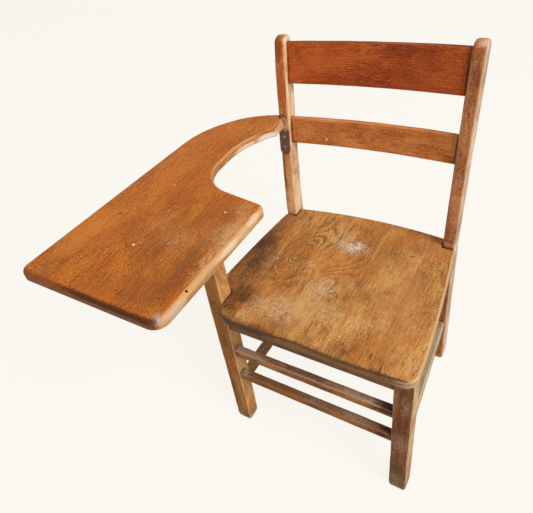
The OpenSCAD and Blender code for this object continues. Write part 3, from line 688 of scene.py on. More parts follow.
def rearPost(name, side, node, material):
    bm = newMesh()
    rings = []
    base = chair["backHeight"] - posts["dome"]
    for z, inset in climbing(base, 0) + [(base, 0.0)]:
        d = postDepth(z)
        centre = Vector((side * postCx(z), postFront(z) + d / 2, z))
        jog = stray(centre, posts["strayScale"], side * 5, posts["rearStray"])
        more = vary(centre, posts["varyScale"], side, posts["rearVary"])
        # the edges grow rounder towards the top
        swell = max(0, z - base + posts["topReach"]) / posts["topReach"]
        radii = [r * more * (1 - swell) + posts["topEdges"] * swell + toe(z) for r in posts["rearEdges"]]
        rings.append(barRing(bm, centre + Vector((jog.x, jog.y, 0)) * (1 - swell), xWay, yWay,
                             posts["width"] / 2, d / 2, radii, inset, rub=posts["rub"] * (1 - 0.6 * swell)))
    middle = postFront(base) + postDepth(base) / 2
    for k in range(1, posts["domeTurns"] + 1):       # the rounded top
        a = math.radians(90 * k / (posts["domeTurns"] + 0.6))
        z = base + posts["dome"] * math.sin(a)
        half = postDepth(base) / 2 * math.cos(a) ** 0.8
        slim = posts["width"] / 2 - posts["domeSlim"] * (1 - math.cos(a)) ** 1.3
        rings.append(barRing(bm, Vector((side * postCx(z), middle, z)), xWay, yWay, slim, half,
                             [min(posts["topEdges"] + 1.5 * math.sin(a), half * 0.9)] * 4, 0.0, band=2.0,
                             rub=0.36 - 0.2 * math.sin(a)))
    closeSkin(bm, rings)
    finishPiece(bm, name, material, node,
                lambda p: (p.x, p.y - postFront(p.z), p.z), sharp=60)


postLook = {
    "pale": (212, 156, 92), "mid": (176, 116, 60), "deep": (124, 72, 34), "warm": (190, 106, 46),
    "worn": (222, 182, 132), "pith": (0.09, -0.2), "grimeAmount": 0.5, "blotch": 0.8, "blotchScale": 18,
    "wearAmount": 0.65, "fibre": 1.5, "speckle": 2.2, "flecks": 0.4, "rough": 0.6,
}
legWood = woodMaterial("legWood", {
    **postLook, "warmAmount": 0.2, "deep": (104, 62, 34), "flecks": 0.3, "pits": 0.6,
    # painted light on the faces turned to +x, painted shade on the front faces
    "faces": ((xWay, (230, 192, 144), 0.75), (-yWay, (88, 46, 22), 0.88)),
    "stains": (
        ((200, 0, 16), (60, 30, 26), (84, 66, 48), 0.7),
        ((200, 20, 0), (60, 60, 14), (150, 130, 104), 0.7),
        ((196, 0, 70), (26, 10, 60), (70, 44, 28), 0.7),
        ((190, 0, 250), (14, 10, 110), (122, 58, 34), 0.6),
        ((206, 0, 300), (30, 10, 90), (104, 54, 28), 0.6),
        ((196, 0, 200), (5, 10, 160), (66, 34, 18), 0.6),
        ((208, 0, 260), (3, 10, 150), (76, 40, 22), 0.6),
        ((190, 0, 390), (30, 10, 40), (116, 64, 36), 0.5),
    ),
    "scars": (
        ("scuff", (200, 20, 0), (60, 60, 24), (214, 204, 184), 1.0),
        ("scuff", (200, 0, 190), (26, 10, 50), (206, 172, 138), 0.6),
        ("scuff", (206, 0, 325), (14, 10, 56), (216, 178, 144), 0.55),
        ("scuff", (196, 0, 40), (30, 14, 50), (190, 170, 140), 0.45),
        ("scuff", (186, 0, 330), (8, 10, 80), (200, 160, 120), 0.4),
    ),
})
tabletPostWood = woodMaterial("tabletPostWood", {
    **postLook, "grimeAmount": 0.35,
    # painted light on the faces turned to +x, painted shade on the front faces
    "faces": ((xWay, (240, 186, 116), 0.85), (-yWay, (166, 104, 44), 0.65)),
    "stains": (
        ((-199, 20, 14), (40, 40, 36), (96, 66, 40), 0.65),
        # painted light on the lower side face turned to +x
        ((-181, 18, 70), (8, 26, 60), (214, 126, 62), 0.6),
        ((-212, 0, 150), (16, 10, 170), (106, 62, 26), 0.8),
        ((-192, 0, 120), (5, 10, 110), (206, 150, 92), 0.6),
        ((-199, 0, 320), (26, 10, 90), (122, 78, 42), 0.6),
        ((-199, 18, 440), (34, 34, 12), (60, 42, 30), 0.7),
        ((-190, 2, 650), (40, 14, 40), (120, 74, 38), 0.5),
        ((-196, 4, 560), (30, 12, 50), (160, 104, 56), 0.4),
    ),
    "scars": (
        ("scuff", (-199, 20, 0), (60, 60, 22), (236, 218, 186), 1.0),
        # painted light on the side face turned to +x
        ("scuff", (-181, 18, 220), (8, 26, 90), (236, 190, 130), 0.6),
        ("scuff", (-188, 0, 360), (4, 10, 60), (206, 156, 100), 0.6),
        # painted light on the side face turned to +x
        ("scuff", (-181, 20, 400), (6, 24, 50), (228, 196, 150), 0.5),
    ),
})
rightBackWood = woodMaterial("rightBackWood", {
    **postLook, "pale": (236, 166, 98), "mid": (214, 134, 72), "deep": (150, 86, 44), "warmAmount": 0.5,
    # painted light on the inner face, turned to +x
    "grimeAmount": 0.4, "faces": ((xWay, (250, 216, 172), 0.95),), "wearAmount": 0.75,
    "stains": (
        ((-180, 334, 530), (12, 14, 110), (240, 190, 136), 1.0),
        ((-184, 331, 470), (16, 14, 60), (250, 206, 150), 1.0),
        # painted light on the inner face
        ((-171, 345, 470), (4, 30, 60), (252, 222, 176), 0.9),
        ((-193, 336, 610), (7, 14, 60), (92, 52, 34), 0.95),
        ((-191, 332, 545), (5, 14, 36), (84, 48, 32), 0.9),
        ((-186, 348, 770), (12, 12, 80), (190, 92, 40), 0.8),
        ((-177, 346, 750), (2.5, 12, 60), (110, 62, 38), 0.7),
        ((-189, 362, 846), (14, 24, 34), (172, 80, 36), 1.0),
        # painted light on the inner side of the rounded top
        ((-173, 366, 856), (6, 24, 16), (240, 220, 190), 0.8),
        ((-183, 340, 700), (20, 14, 16), (84, 58, 42), 0.8),
    ),
    "scars": (
        ("scuff", (-180, 332, 480), (14, 10, 60), (250, 214, 162), 0.6),
        # painted light along the inner arris
        ("chip", (-172, 350, 770), (2.5, 10, 60), (244, 226, 196), 0.8),
        ("chip", (-189, 354, 842), (14, 24, 36), (140, 62, 26), 0.65),
        # painted light on the inner face, here and on the next line
        ("scuff", (-171, 365, 800), (3, 20, 60), (236, 206, 160), 0.6),
        ("scuff", (-171, 345, 690), (3, 20, 30), (236, 206, 170), 0.6),
    ),
})
leftBackWood = woodMaterial("leftBackWood", {
    **postLook, "pale": (212, 148, 94), "mid": (186, 116, 70), "deep": (130, 76, 46), "warmAmount": 0.15,
    # painted light on the side face turned to +x
    "faces": ((xWay, (244, 222, 200), 0.9),), "speckle": 2.3, "flecks": 0.45, "wearAmount": 0.65,
    "stains": (
        ((188, 353, 805), (14, 14, 40), (120, 62, 38), 0.7),
        ((180, 330, 480), (16, 12, 34), (128, 78, 46), 0.6),
        ((184, 330, 462), (20, 12, 8), (84, 54, 42), 0.7),
        ((192, 366, 860), (16, 24, 8), (232, 196, 160), 0.7),
    ),
    "scars": (
        ("scuff", (184, 336, 580), (12, 14, 100), (206, 152, 112), 0.5),
        ("scuff", (186, 346, 700), (12, 14, 60), (196, 134, 94), 0.6),
        ("scuff", (182, 330, 452), (20, 16, 10), (196, 164, 130), 0.8),
        ("chip", (198, 348, 488), (7, 40, 60), (128, 78, 46), 0.5),
        ("chip", (172, 331, 520), (2.4, 5, 90), (128, 82, 56), 0.7),
        ("chip", (173, 340, 670), (2.4, 6, 90), (128, 78, 50), 0.7),
        ("chip", (174, 352, 800), (2.4, 9, 80), (110, 62, 40), 0.7),
    ),
})
frontPost("tabletPost", -1, chair["tabletHeight"] - chair["tabletThick"], "front_post_right",
          tabletPostWood)
frontPost("leftFrontLeg", 1, posts["underSeat"], "front_leg_left", legWood)
rearPost("rightBackPost", -1, "rear_post_right", rightBackWood)
rearPost("leftBackPost", 1, "rear_post_left", leftBackWood)
print("posts made")


# Rails under the seat
rails = {
    "thick": 19, "height": 68, "inset": 6, "rearInset": 18, "edges": (1.6, 1.6, 1.2, 1.2),
    "lap": 1.5, "sideLap": 1, "crossEnd": 0.6, "sideEnd": 0.4,
}
railLook = {
    "pale": (206, 158, 104), "mid": (176, 126, 78), "deep": (128, 88, 54), "worn": (206, 168, 124),
    "pith": (-0.05, 0.15), "grimeAmount": 0.5, "bands": 0.25, "warmAmount": 0.2,
    # painted light on the faces turned to +x
    "faces": ((xWay, (244, 204, 168), 0.9),),
}
railWood = woodMaterial("railWood", railLook)
# darker than the rail wood, partly grime and partly painted shade on its front face
apronWood = woodMaterial("apronWood", {
    **railLook, "pale": (160, 118, 74), "worn": (150, 112, 76), "wearAmount": 0.4,
    "faces": ((-yWay, (84, 60, 38), 0.9),),
})
railMid = posts["underSeat"] - rails["height"] / 2
legInner = chair["frontSpan"] / 2 - posts["legSide"]
postInner = chair["rearSpan"] / 2 - posts["width"]


def crossBar(name, half, y, z, s, material, node, seed):        # from side to side
    bm = newMesh()
    half += rails["lap"]
    bar(bm, (-half, y, z), (half, y, z), yWay, zWay, s["thick"] / 2, s["height"] / 2, s["edges"],
        rails["crossEnd"], seed)
    finishPiece(bm, name, material, node, lambda p: (p.z, p.y, p.x))


def sideBar(name, start, end, u, v, thick, height, edges, material, node, seed):      # from front to back
    bm = newMesh()
    bar(bm, start, end, u, v, thick / 2, height / 2, edges, rails["sideEnd"], seed)
    finishPiece(bm, name, material, node, lambda p: (p.z, p.x, p.y))


sides = ((-1, "right"), (1, "left"))
frontRailY = rails["inset"] + rails["thick"] / 2
crossBar("frontRail", legInner, frontRailY, railMid, rails, apronWood, "front_rail", 1)
rearRailY = chair["baseDepth"] + rails["rearInset"] + rails["thick"] / 2
crossBar("rearRail", postInner, rearRailY, railMid, rails, railWood, "rear_rail", 2)
frontCx = chair["frontSpan"] / 2 - posts["legSide"] / 2
rearY = postFront(posts["underSeat"] - rails["height"]) + rails["sideLap"]
slope = (rearCx - frontCx) / (chair["baseDepth"] - posts["legSide"])
for side, word in sides:
    start = (side * (frontCx - slope), posts["legSide"] - rails["sideLap"], railMid)
    end = (side * (frontCx + slope * (rearY - posts["legSide"])), rearY, railMid)
    sideBar(word + "SideRail", start, end, xWay, zWay, rails["thick"], rails["height"], rails["edges"],
            railWood, "side_rail_" + word, side + 4)
print("rails made")

# Stretchers between the legs
stretchers = {
    "height": 21, "thick": 18.5, "inset": 2, "upper": 290, "lower": 204, "rear": 250,
    "edges": (3.2, 3.2, 2.4, 2.4), "frontLap": 2, "sideLap": 1.5, "rearLap": 3,
    "sideHeight": 34, "sideThick": 15, "sideFront": 158, "sideRear": 174, "sideEdges": (2.6, 2.6, 2, 2),
}
stretcherLook = {
    "pale": (206, 148, 88), "mid": (166, 106, 58), "deep": (92, 56, 32), "worn": (190, 172, 146),
    # painted light on the tops, which the seat would shade, over grey weathering; the front faces turn
    # orange
    "faces": ((zWay, (180, 164, 142), 0.75), (-yWay, (190, 118, 62), 0.35)), "flecks": 0.5,
    "pith": (-0.03, -0.12), "grimeAmount": 0.75, "bump": 0.5, "rough": 0.66, "fibre": 1.6, "wearEdge": 0.6,
    "blotch": 1.0, "blotchScale": 26,
    "stains": (
        # painted shadow at the stretchers' ends by the left leg, here and on the next line
        ((168, 10, 284), (44, 30, 16), (40, 28, 22), 0.9),
        ((170, 10, 196), (40, 30, 16), (40, 28, 22), 0.9),
        ((40, 2, 194), (26, 12, 14), (96, 66, 46), 0.6),
        ((-120, 2, 278), (40, 12, 12), (110, 70, 42), 0.5),
    ),
    "scars": (
        # painted shadow on the upper stretcher's top by the left leg
        ("chip", (180, 10, 288), (34, 30, 12), (62, 46, 36), 0.65),
        ("scuff", (-170, 12, 290), (14, 20, 8), (170, 168, 160), 0.6),
        ("scuff", (-168, 12, 204), (18, 20, 8), (176, 174, 162), 0.9),
        ("scuff", (100, 12, 204), (60, 20, 8), (166, 152, 134), 0.8),
        ("scuff", (10, 12, 204), (50, 20, 8), (156, 140, 120), 0.6),
    ),
}
stretcherWood = woodMaterial("stretcherWood", stretcherLook)
lowStretcherWood = woodMaterial("lowStretcherWood", {
    **stretcherLook, "pale": (176, 122, 72), "mid": (138, 86, 48), "worn": (142, 118, 92),
    "faces": ((zWay, (120, 92, 66), 0.75), (-yWay, (176, 106, 54), 0.35)),
})
# the left one is a lit copy: painted light makes it paler overall, on its top and on its face turned to +x,
# over grey rubbed wood
leftStretcherLitWood = woodMaterial("leftStretcherLitWood", {
    **stretcherLook, "pale": (214, 188, 154), "mid": (184, 152, 118), "deep": (134, 102, 74),
    "worn": (228, 210, 184), "grimeAmount": 0.35, "flecks": 0.3, "blotch": 0.7, "stains": (), "scars": (),
    "faces": ((zWay, (172, 154, 130), 0.8), (xWay, (222, 190, 154), 0.8)),
})
for word, wood in (("upper", stretcherWood), ("lower", lowStretcherWood)):
    top = stretchers[word]
    crossBar(word + "FrontStretcher", chair["frontSpan"] / 2 - legSide(top),
             stretchers["inset"] + stretchers["thick"] / 2, top - stretchers["height"] / 2, stretchers,
             wood, "front_stretcher_" + word, top + 5)
rearBarZ = stretchers["rear"] - stretchers["height"] / 2
rearBarY = postFront(rearBarZ) + posts["depth"] / 2
crossBar("rearStretcher", postCx(rearBarZ) - posts["width"] / 2, rearBarY, rearBarZ, stretchers,
         stretcherWood, "rear_stretcher", 9)
for side, word in sides:
    frontTop, rearTop, tall = stretchers["sideFront"], stretchers["sideRear"], stretchers["sideHeight"]
    start = Vector((side * (frontCx - stretchers["frontLap"]), legSide(frontTop) - stretchers["sideLap"],
                    frontTop - tall / 2))
    end = Vector((side * postCx(rearTop), postFront(rearTop - tall / 2) + stretchers["rearLap"],
                  rearTop - tall / 2))
    run = (end - start).normalized()
    across = run.cross(zWay).normalized()
    sideBar(word + "SideStretcher", start, end, across, across.cross(run), stretchers["sideThick"], tall,
            stretchers["sideEdges"], leftStretcherLitWood if side > 0 else stretcherWood,
            "side_stretcher_" + word, side + 14)
print("stretchers made")

# Crest rail and lower slat, bowed between the back posts
back = {
    "thick": 13, "inset": 10, "bow": 11, "crestHeight": 84, "crestMid": 809, "slatHeight": 60,
    "slatMid": 664, "crestEdges": (4.5, 3.0, 2.2, 2.2), "slatEdges": (5.5, 4.0, 2.5, 2.5), "step": 10,
    "lap": 2.5, "varyScale": 0.03, "vary": 0.4, "rub": 0.8,
}
backLook = {
    "pith": (0.01, 0.16), "fibre": 1.1, "blotch": 0.85, "flecks": 0.2, "grimeAmount": 0.35,
    "slope": 0.03, "wearEdge": 0.55, "rough": 0.45, "coat": 0.05, "speckle": 1.8, "warp": 0.02,
}
crestWood = woodMaterial("crestWood", {
    **backLook, "pale": (204, 104, 46), "mid": (160, 69, 29), "deep": (112, 44, 22), "warm": (190, 88, 34),
    "worn": (214, 140, 78), "grimeAndShade": (74, 32, 20), "soil": (84, 46, 30),
    "figures": (((95, 345, 815), (75, 200, 26), 0, 18), ((-70, 345, 800), (60, 200, 20), 0, 9)),
    # painted shade on the top face, which is darkened
    "figureLines": 0.65, "ring": 3.6, "faces": ((zWay, (60, 30, 20), 0.95),), "wearAmount": 0.4,
    "stains": (
        ((70, 345, 805), (90, 40, 30), (132, 58, 30), 0.5),
        ((-126, 345, 800), (60, 40, 60), (204, 110, 54), 0.45),
    ),
    "scars": (
        ("chip", (170.5, 345, 810), (2.4, 40, 60), (56, 28, 20), 0.8),
        ("chip", (-170.5, 345, 810), (2.0, 40, 60), (84, 44, 28), 0.7),
        # painted shade: a dark line along the top edge
        ("chip", (62, 340, 845), (2.5, 20, 2.5), (40, 24, 18), 0.8),
    ),
})
slatWood = woodMaterial("slatWood", {
    **backLook, "pale": (232, 152, 82), "mid": (200, 118, 60), "deep": (154, 82, 38),
    "warm": (212, 118, 54), "worn": (226, 168, 112), "grimeAndShade": (84, 46, 28), "soil": (110, 66, 42),
    "stains": (
        ((80, 345, 655), (70, 40, 20), (176, 104, 56), 0.45),
        ((-140, 345, 664), (32, 40, 30), (236, 150, 84), 0.4),
        # painted light along the rounded top edge
        ((-90, 345, 690), (70, 40, 6), (244, 184, 118), 0.5),
    ),
    "scars": (
        ("chip", (-93, 338, 648), (5.5, 30, 5.5), (230, 200, 174), 0.9),
        ("chip", (170.5, 345, 660), (2.4, 40, 44), (64, 36, 24), 0.8),
        ("chip", (-170.5, 345, 660), (2.2, 40, 44), (72, 40, 26), 0.8),
        ("chip", (-165, 345, 636), (4, 40, 4), (52, 30, 22), 0.7),
    ),
})


def bowAt(x):
    return back["bow"] * (1 - (x / postInner) ** 2)


def bowedBoard(name, z, height, edges, node, material):
    bm = newMesh()
    half = postInner + back["lap"]
    lean = Matrix.Rotation(-postTilt(z), 3, "X")
    up, through = lean @ zWay, lean @ yWay
    root = Vector((0, postFront(z) + back["inset"], z))
    n = round(2 * half / back["step"])
    rings = []
    for k in range(n + 1):
        x = -half + 2 * half * k / n
        centre = root + Vector((x, 0, 0)) + through * (bowAt(x) + back["thick"] / 2)
        more = vary(centre, back["varyScale"], 0, back["vary"])
        turn = Matrix.Rotation(math.atan(2 * back["bow"] * x / postInner ** 2), 3, up)
        rings.append(barRing(bm, centre, up, turn @ through, height / 2, back["thick"] / 2,
                             [r * more for r in edges], rub=back["rub"]))
    closeSkin(bm, rings)
    finishPiece(bm, name, material, node,
                lambda p: (p.z, p.y - postFront(p.z) - bowAt(p.x), p.x))


bowedBoard("crestRail", back["crestMid"], back["crestHeight"], back["crestEdges"], "crest_rail", crestWood)
bowedBoard("lowerSlat", back["slatMid"], back["slatHeight"], back["slatEdges"], "lower_slat", slatWood)
print("back made")

# Seat: one saddled slab, sawn into its five boards along the glue lines
seat = {
    "thick": 21, "frontWidth": 451, "rearWidth": 392, "nose": 32, "tail": 29, "backBow": 14,
    "sideBow": 4, "corner": 25, "innerCorner": 30, "thighDepth": 5.5, "thighRadius": 560, "thighX": 97,
    "dishDepth": 6, "dishRim": 165, "dishY": 200, "board": 95, "firstJoint": -140, "gap": 1,
    "upperEdge": 4.0, "lowerEdge": 3.0, "grid": 7, "step": 7, "band": 6, "turns": 4, "blend": 0.5,
    "leftFrom": 150, "leftRub": 0.85, "frontRub": -1.0, "rightRub": -0.35, "plainRub": 0.1,
    "boards": 5, "sideCuts": 30, "rearCuts": 40,
}
dishRadius = (seat["dishRim"] ** 2 + seat["dishDepth"] ** 2) / (2 * seat["dishDepth"])
seatJoints = [seat["firstJoint"] + seat["board"] * k for k in range(seat["boards"] - 1)]


def seatTop(x, y):
    top = chair["seatHeight"]
    far = (x * x + (y - seat["dishY"]) ** 2) / dishRadius ** 2
    dish = top - seat["dishDepth"] + dishRadius * (1 - math.sqrt(1 - far))
    slope = seat["thighDepth"] / (chair["baseDepth"] + seat["nose"])
    low = top - seat["thighDepth"] + slope * (y + seat["nose"])
    off = abs(x) - seat["thighX"]
    thigh = low + seat["thighRadius"] - math.sqrt(seat["thighRadius"] ** 2 - off ** 2)
    # a soft minimum, so that the hollows run into each other as a scraper leaves them
    levels = (top, dish, thigh)
    least = min(levels)
    return least - seat["blend"] * math.log(sum(math.exp((least - v) / seat["blend"]) for v in levels))


def seatEdge(y):
    t = y / chair["baseDepth"]
    width = seat["frontWidth"] + (seat["rearWidth"] - seat["frontWidth"]) * t
    return width / 2 + 4 * seat["sideBow"] * t * (1 - t)


def seatOutline():
    nose, depth, gap, corner = seat["nose"], chair["baseDepth"], seat["gap"], seat["corner"]
    notch, postSide = postInner - gap, -(legInner - gap)
    rear, first = depth - gap, posts["legSide"] + gap
    cuts, rearCuts = seat["sideCuts"], seat["rearCuts"]
    out = fillet((0, -nose), (seatEdge(0), -nose), (seatEdge(corner), corner), corner)
    for i in range(cuts + 1):
        y = corner + (rear - corner) * i / cuts
        out.append(Vector((seatEdge(y), y)))
    out.append(Vector((notch, rear)))
    for i in range(rearCuts + 1):
        x = notch - 2 * notch * i / rearCuts
        out.append(Vector((x, depth + seat["tail"] + seat["backBow"] * (1 - (x / notch) ** 2))))
    out.append(Vector((-notch, rear)))
    for i in range(cuts + 1):
        y = rear - (rear - first) * i / cuts
        out.append(Vector((-seatEdge(y), y)))
    out.append(Vector((postSide, first)))
    return out + fillet((postSide, posts["legSide"]), (postSide, -nose), (0, -nose), seat["innerCorner"])


def seatRub(p, way):        # dark along the front and the right side, rubbed bright at the left
    if way.x > 0.6 and p.x > seat["leftFrom"]:
        return seat["leftRub"]
    if way.y < -0.6:
        return seat["frontRub"]
    return seat["rightRub"] if p.x < 0 else seat["plainRub"]


seatWood = woodMaterial("seatWood", {
    "pale": (224, 168, 98), "mid": (194, 134, 70), "deep": (138, 84, 40), "warm": (200, 118, 50),
    "warmAmount": 0.45, "worn": (238, 206, 156), "soil": (82, 60, 44), "pith": (0.0, 0.0), "ring": 2.6,
    "warp": 0.018, "blotch": 0.75, "blotchScale": 17, "fibre": 1.4, "speckle": 1.9, "flecks": 0.5,
    "figureLines": 0.6, "pits": 0.15,
    "figures": (((-98, 190, 440), (30, 76, 400), -8, 21), ((-66, 262, 440), (44, 70, 400), -16, 9),
                ((4, 150, 440), (34, 64, 400), -14, 14)),
    "seams": ((-140, 300, 60), (-45, 290, 60), (50, 285, 55), (145, 290, 40)),
    # painted shade on the front edge, painted light on the faces turned to +x
    "faces": ((-yWay, (106, 82, 56), 0.8), (xWay, (200, 172, 140), 0.6)),
    "stains": (
        ((-214, 180, 444), (84, 240, 40), (96, 54, 34), 1.0, 4),
        ((-196, 230, 444), (30, 90, 40), (90, 50, 36), 0.7, 8),
        ((-160, 150, 444), (40, 120, 40), (116, 70, 46), 0.7, 10),
        ((-182, 150, 444), (20, 60, 40), (74, 42, 32), 0.65),
        ((-180, 300, 444), (26, 60, 40), (132, 82, 60), 0.6, 10),
        ((-20, 62, 440), (96, 50, 40), (220, 170, 98), 0.5),
        ((-150, 40, 440), (64, 54, 40), (92, 56, 34), 0.95, -20),
        ((-40, 10, 440), (60, 40, 40), (140, 90, 50), 0.6),
        ((-176, -10, 444), (40, 26, 40), (58, 38, 30), 0.85, 24),
        ((-110, -28, 440), (90, 16, 40), (80, 48, 32), 0.9),
        ((-120, -33, 434), (110, 6, 16), (48, 34, 26), 0.8),
        ((0, 268, 440), (20, 14, 40), (230, 208, 170), 0.4),
        ((212, -20, 431), (34, 28, 7), (150, 130, 106), 0.6),
        ((54, 168, 440), (18, 34, 40), (122, 72, 50), 0.6),
        ((60, 60, 440), (12, 46, 40), (134, 84, 48), 0.5, -6),
        ((90, 120, 440), (30, 40, 40), (150, 96, 52), 0.4, 20),
        ((88, -10, 440), (26, 22, 40), (122, 70, 40), 0.55),
        ((20, -14, 440), (26, 18, 40), (134, 80, 46), 0.45),
        ((165, -2, 440), (26, 20, 40), (156, 92, 48), 0.5),
        ((150, 310, 444), (60, 28, 40), (176, 108, 70), 0.6),
        ((188, 326, 444), (16, 10, 40), (96, 64, 50), 0.7),
        ((150, 150, 440), (70, 150, 40), (206, 136, 80), 0.55),
        ((176, 60, 440), (50, 90, 40), (190, 120, 66), 0.5),
        ((110, 250, 440), (30, 40, 40), (182, 112, 56), 0.4),
    ),
    "scars": (
        ("scuff", (-178, 140, 444), (34, 130, 40), (50, 30, 26), 0.75, 8),
        ("scuff", (0, 268, 440), (44, 28, 40), (246, 234, 210), 1.0),
        ("scuff", (-30, 280, 440), (16, 24, 40), (226, 206, 170), 0.7),
        ("scuff", (-10, 120, 440), (40, 60, 40), (226, 196, 156), 0.8, -10),
        ("scuff", (-66, 34, 440), (66, 56, 40), (234, 202, 156), 0.95),
        ("scuff", (20, 60, 440), (70, 60, 40), (232, 190, 134), 0.7),
        ("scuff", (-120, 20, 440), (26, 60, 40), (222, 180, 130), 0.6, -10),
        ("scuff", (212, -20, 431), (40, 34, 9), (206, 190, 166), 0.9),
        ("chip", (206, -28, 441), (24, 10, 3), (216, 188, 152), 0.45),
        ("chip", (221, -18, 442), (7, 16, 3), (226, 200, 164), 0.5),
        ("scuff", (96, 66, 440), (44, 26, 40), (236, 196, 134), 0.6, 30),
        ("scuff", (-30, 30, 440), (50, 30, 40), (226, 180, 120), 0.5),
        ("chip", (138, -1, 443), (1.3, 10, 30), (48, 26, 16), 0.95, 4),
        ("chip", (163, -23, 443), (1.2, 14, 30), (56, 32, 18), 0.9, 2),
        ("chip", (126, 278, 443), (7, 1.9, 30), (60, 36, 26), 0.9, 12),
        ("chip", (-150, 190, 443), (1.6, 16, 30), (70, 42, 34), 0.7, -8),
        ("chip", (-140, 172, 443), (2.2, 2.4, 30), (244, 226, 200), 0.9),
        ("chip", (70, 20, 443), (2.4, 2.2, 30), (240, 216, 180), 0.8),
        ("chip", (-30, 15, 443), (2.0, 2.0, 30), (240, 216, 180), 0.6),
    ),
})
seatPiths = ((-230, -160), (-92, -190), (-10, -220), (150, -200), (260, -190))


def makeSeat():
    outline = seatOutline()
    for i, (px, pz) in enumerate(seatPiths):
        bm = newMesh()
        slab(bm, outline, seatTop, chair["seatHeight"] - seat["thick"], lambda p, w: seat["upperEdge"],
             lambda p, w: seat["lowerEdge"], seatRub, seat["grid"], seat["step"], seat["band"],
             seat["turns"])
        if i > 0:
            saw(bm, (seatJoints[i - 1], 0, 0), -xWay)
        if i < len(seatJoints):
            saw(bm, (seatJoints[i], 0, 0), xWay)
        finishPiece(bm, "seatBoard%d" % (i + 1), seatWood, "seat_board_%d" % (i + 1),
                    lambda p: (p.x - px, p.z - chair["seatHeight"] - pz, p.y))


makeSeat()
print("seat made")

# Tablet: one slab, sawn along its glue line, with the slope on the arm's end
tablet = {
    "reach": 260.5, "innerX": 68, "outerX": 375, "armX": 344, "armY": 182, "armRadius": 181,
    "notchX": 221.5, "notchFront": 85, "notchRear": 166, "cornerY": 38.5, "cornerX": 61,
    "notchFrontY": 139, "notchRearY": 173.5, "corner": 18, "innerCorner": 26, "endX": 174, "endY": 326,
    "endSlant": 3, "bevel": 8, "joint": -160, "grid": 9, "step": 7, "band": 6, "turns": 6,
    "innerRound": 8, "frontRound": 6.5, "notchRound": 5, "outerRound": 4.5, "underRound": 4,
    "armEndY": 300, "armEndRound": 2.5, "innerFrom": -120, "innerRub": 1.3, "frontRub": -1.0,
    "notchRub": 0.75, "outerRub": -0.2, "armEndX": -190, "armEndFrom": 200, "notchFrom": -200,
    "tipReach": 60, "notchCuts": 22, "rearCuts": 18, "armCuts": 26,
}


def tabletOutline():
    s = tablet
    front = -s["reach"]
    frontC = Vector((-s["notchX"] + s["notchFront"], s["notchFrontY"]))
    rearC = Vector((-s["notchX"] + s["notchRear"], s["notchRearY"]))
    armStart, outerFront = Vector((-s["armX"], s["armY"])), Vector((-s["outerX"], front))
    innerFront, corner = Vector((-s["innerX"], front)), Vector((-s["cornerX"], s["cornerY"]))
    outerWay = math.atan2(armStart.y - outerFront.y, armStart.x - outerFront.x)
    outerC = armStart + s["armRadius"] * Vector((math.sin(outerWay), -math.cos(outerWay)))
    toC = frontC - corner
    notchWay = math.atan2(toC.y, toC.x) + math.asin(s["notchFront"] / toC.length)
    tip = corner + s["tipReach"] * Vector((math.cos(notchWay), math.sin(notchWay)))
    endTurn = math.acos((-s["endX"] - rearC.x) / s["notchRear"])
    endFront = rearC + s["notchRear"] * Vector((math.cos(endTurn), math.sin(endTurn)))
    endRear = Vector((-s["endX"] - s["endSlant"], s["endY"]))
    under = chair["tabletHeight"] - chair["tabletThick"]
    room = seat["gap"] / 2
    lap = Vector((-(postCx(under) + posts["width"] / 2 + room), postFront(under) - room))
    endBack = math.degrees(math.acos((lap.x - outerC.x) / s["armRadius"]))
    out = fillet(innerFront, corner, tip, s["corner"])
    out += arc(frontC, s["notchFront"], math.degrees(notchWay) + 90, 180, s["notchCuts"])
    out += arc(rearC, s["notchRear"], 180, math.degrees(endTurn), s["rearCuts"])
    out += [endRear, lap]
    out += arc(outerC, s["armRadius"], endBack, math.degrees(outerWay) + 90, s["armCuts"])
    out += fillet(armStart, outerFront, innerFront, s["corner"])
    out += fillet(outerFront, innerFront, corner, s["innerCorner"])
    return out, endFront, endRear


def tabletEdge(p, way):
    if p.y > tablet["armEndY"] or (p.x > tablet["armEndX"] and p.y > tablet["armEndFrom"]):
        return tablet["armEndRound"]
    if way.x > 0.75 and p.x > tablet["innerFrom"]:
        return tablet["innerRound"]
    if way.y < -0.6:
        return tablet["frontRound"]
    if way.x > 0 or p.x > tablet["notchFrom"]:
        return tablet["notchRound"]
    return tablet["outerRound"]


def tabletRub(p, way):      # dark along the front, rubbed pale along the inner edge
    if way.y < -0.5 and p.y < 0:
        return tablet["frontRub"]
    if way.x > 0.5 and p.x > tablet["innerFrom"]:
        return tablet["innerRub"]
    if way.x > 0 and p.y > 0:
        return tablet["notchRub"]
    return tablet["outerRub"]


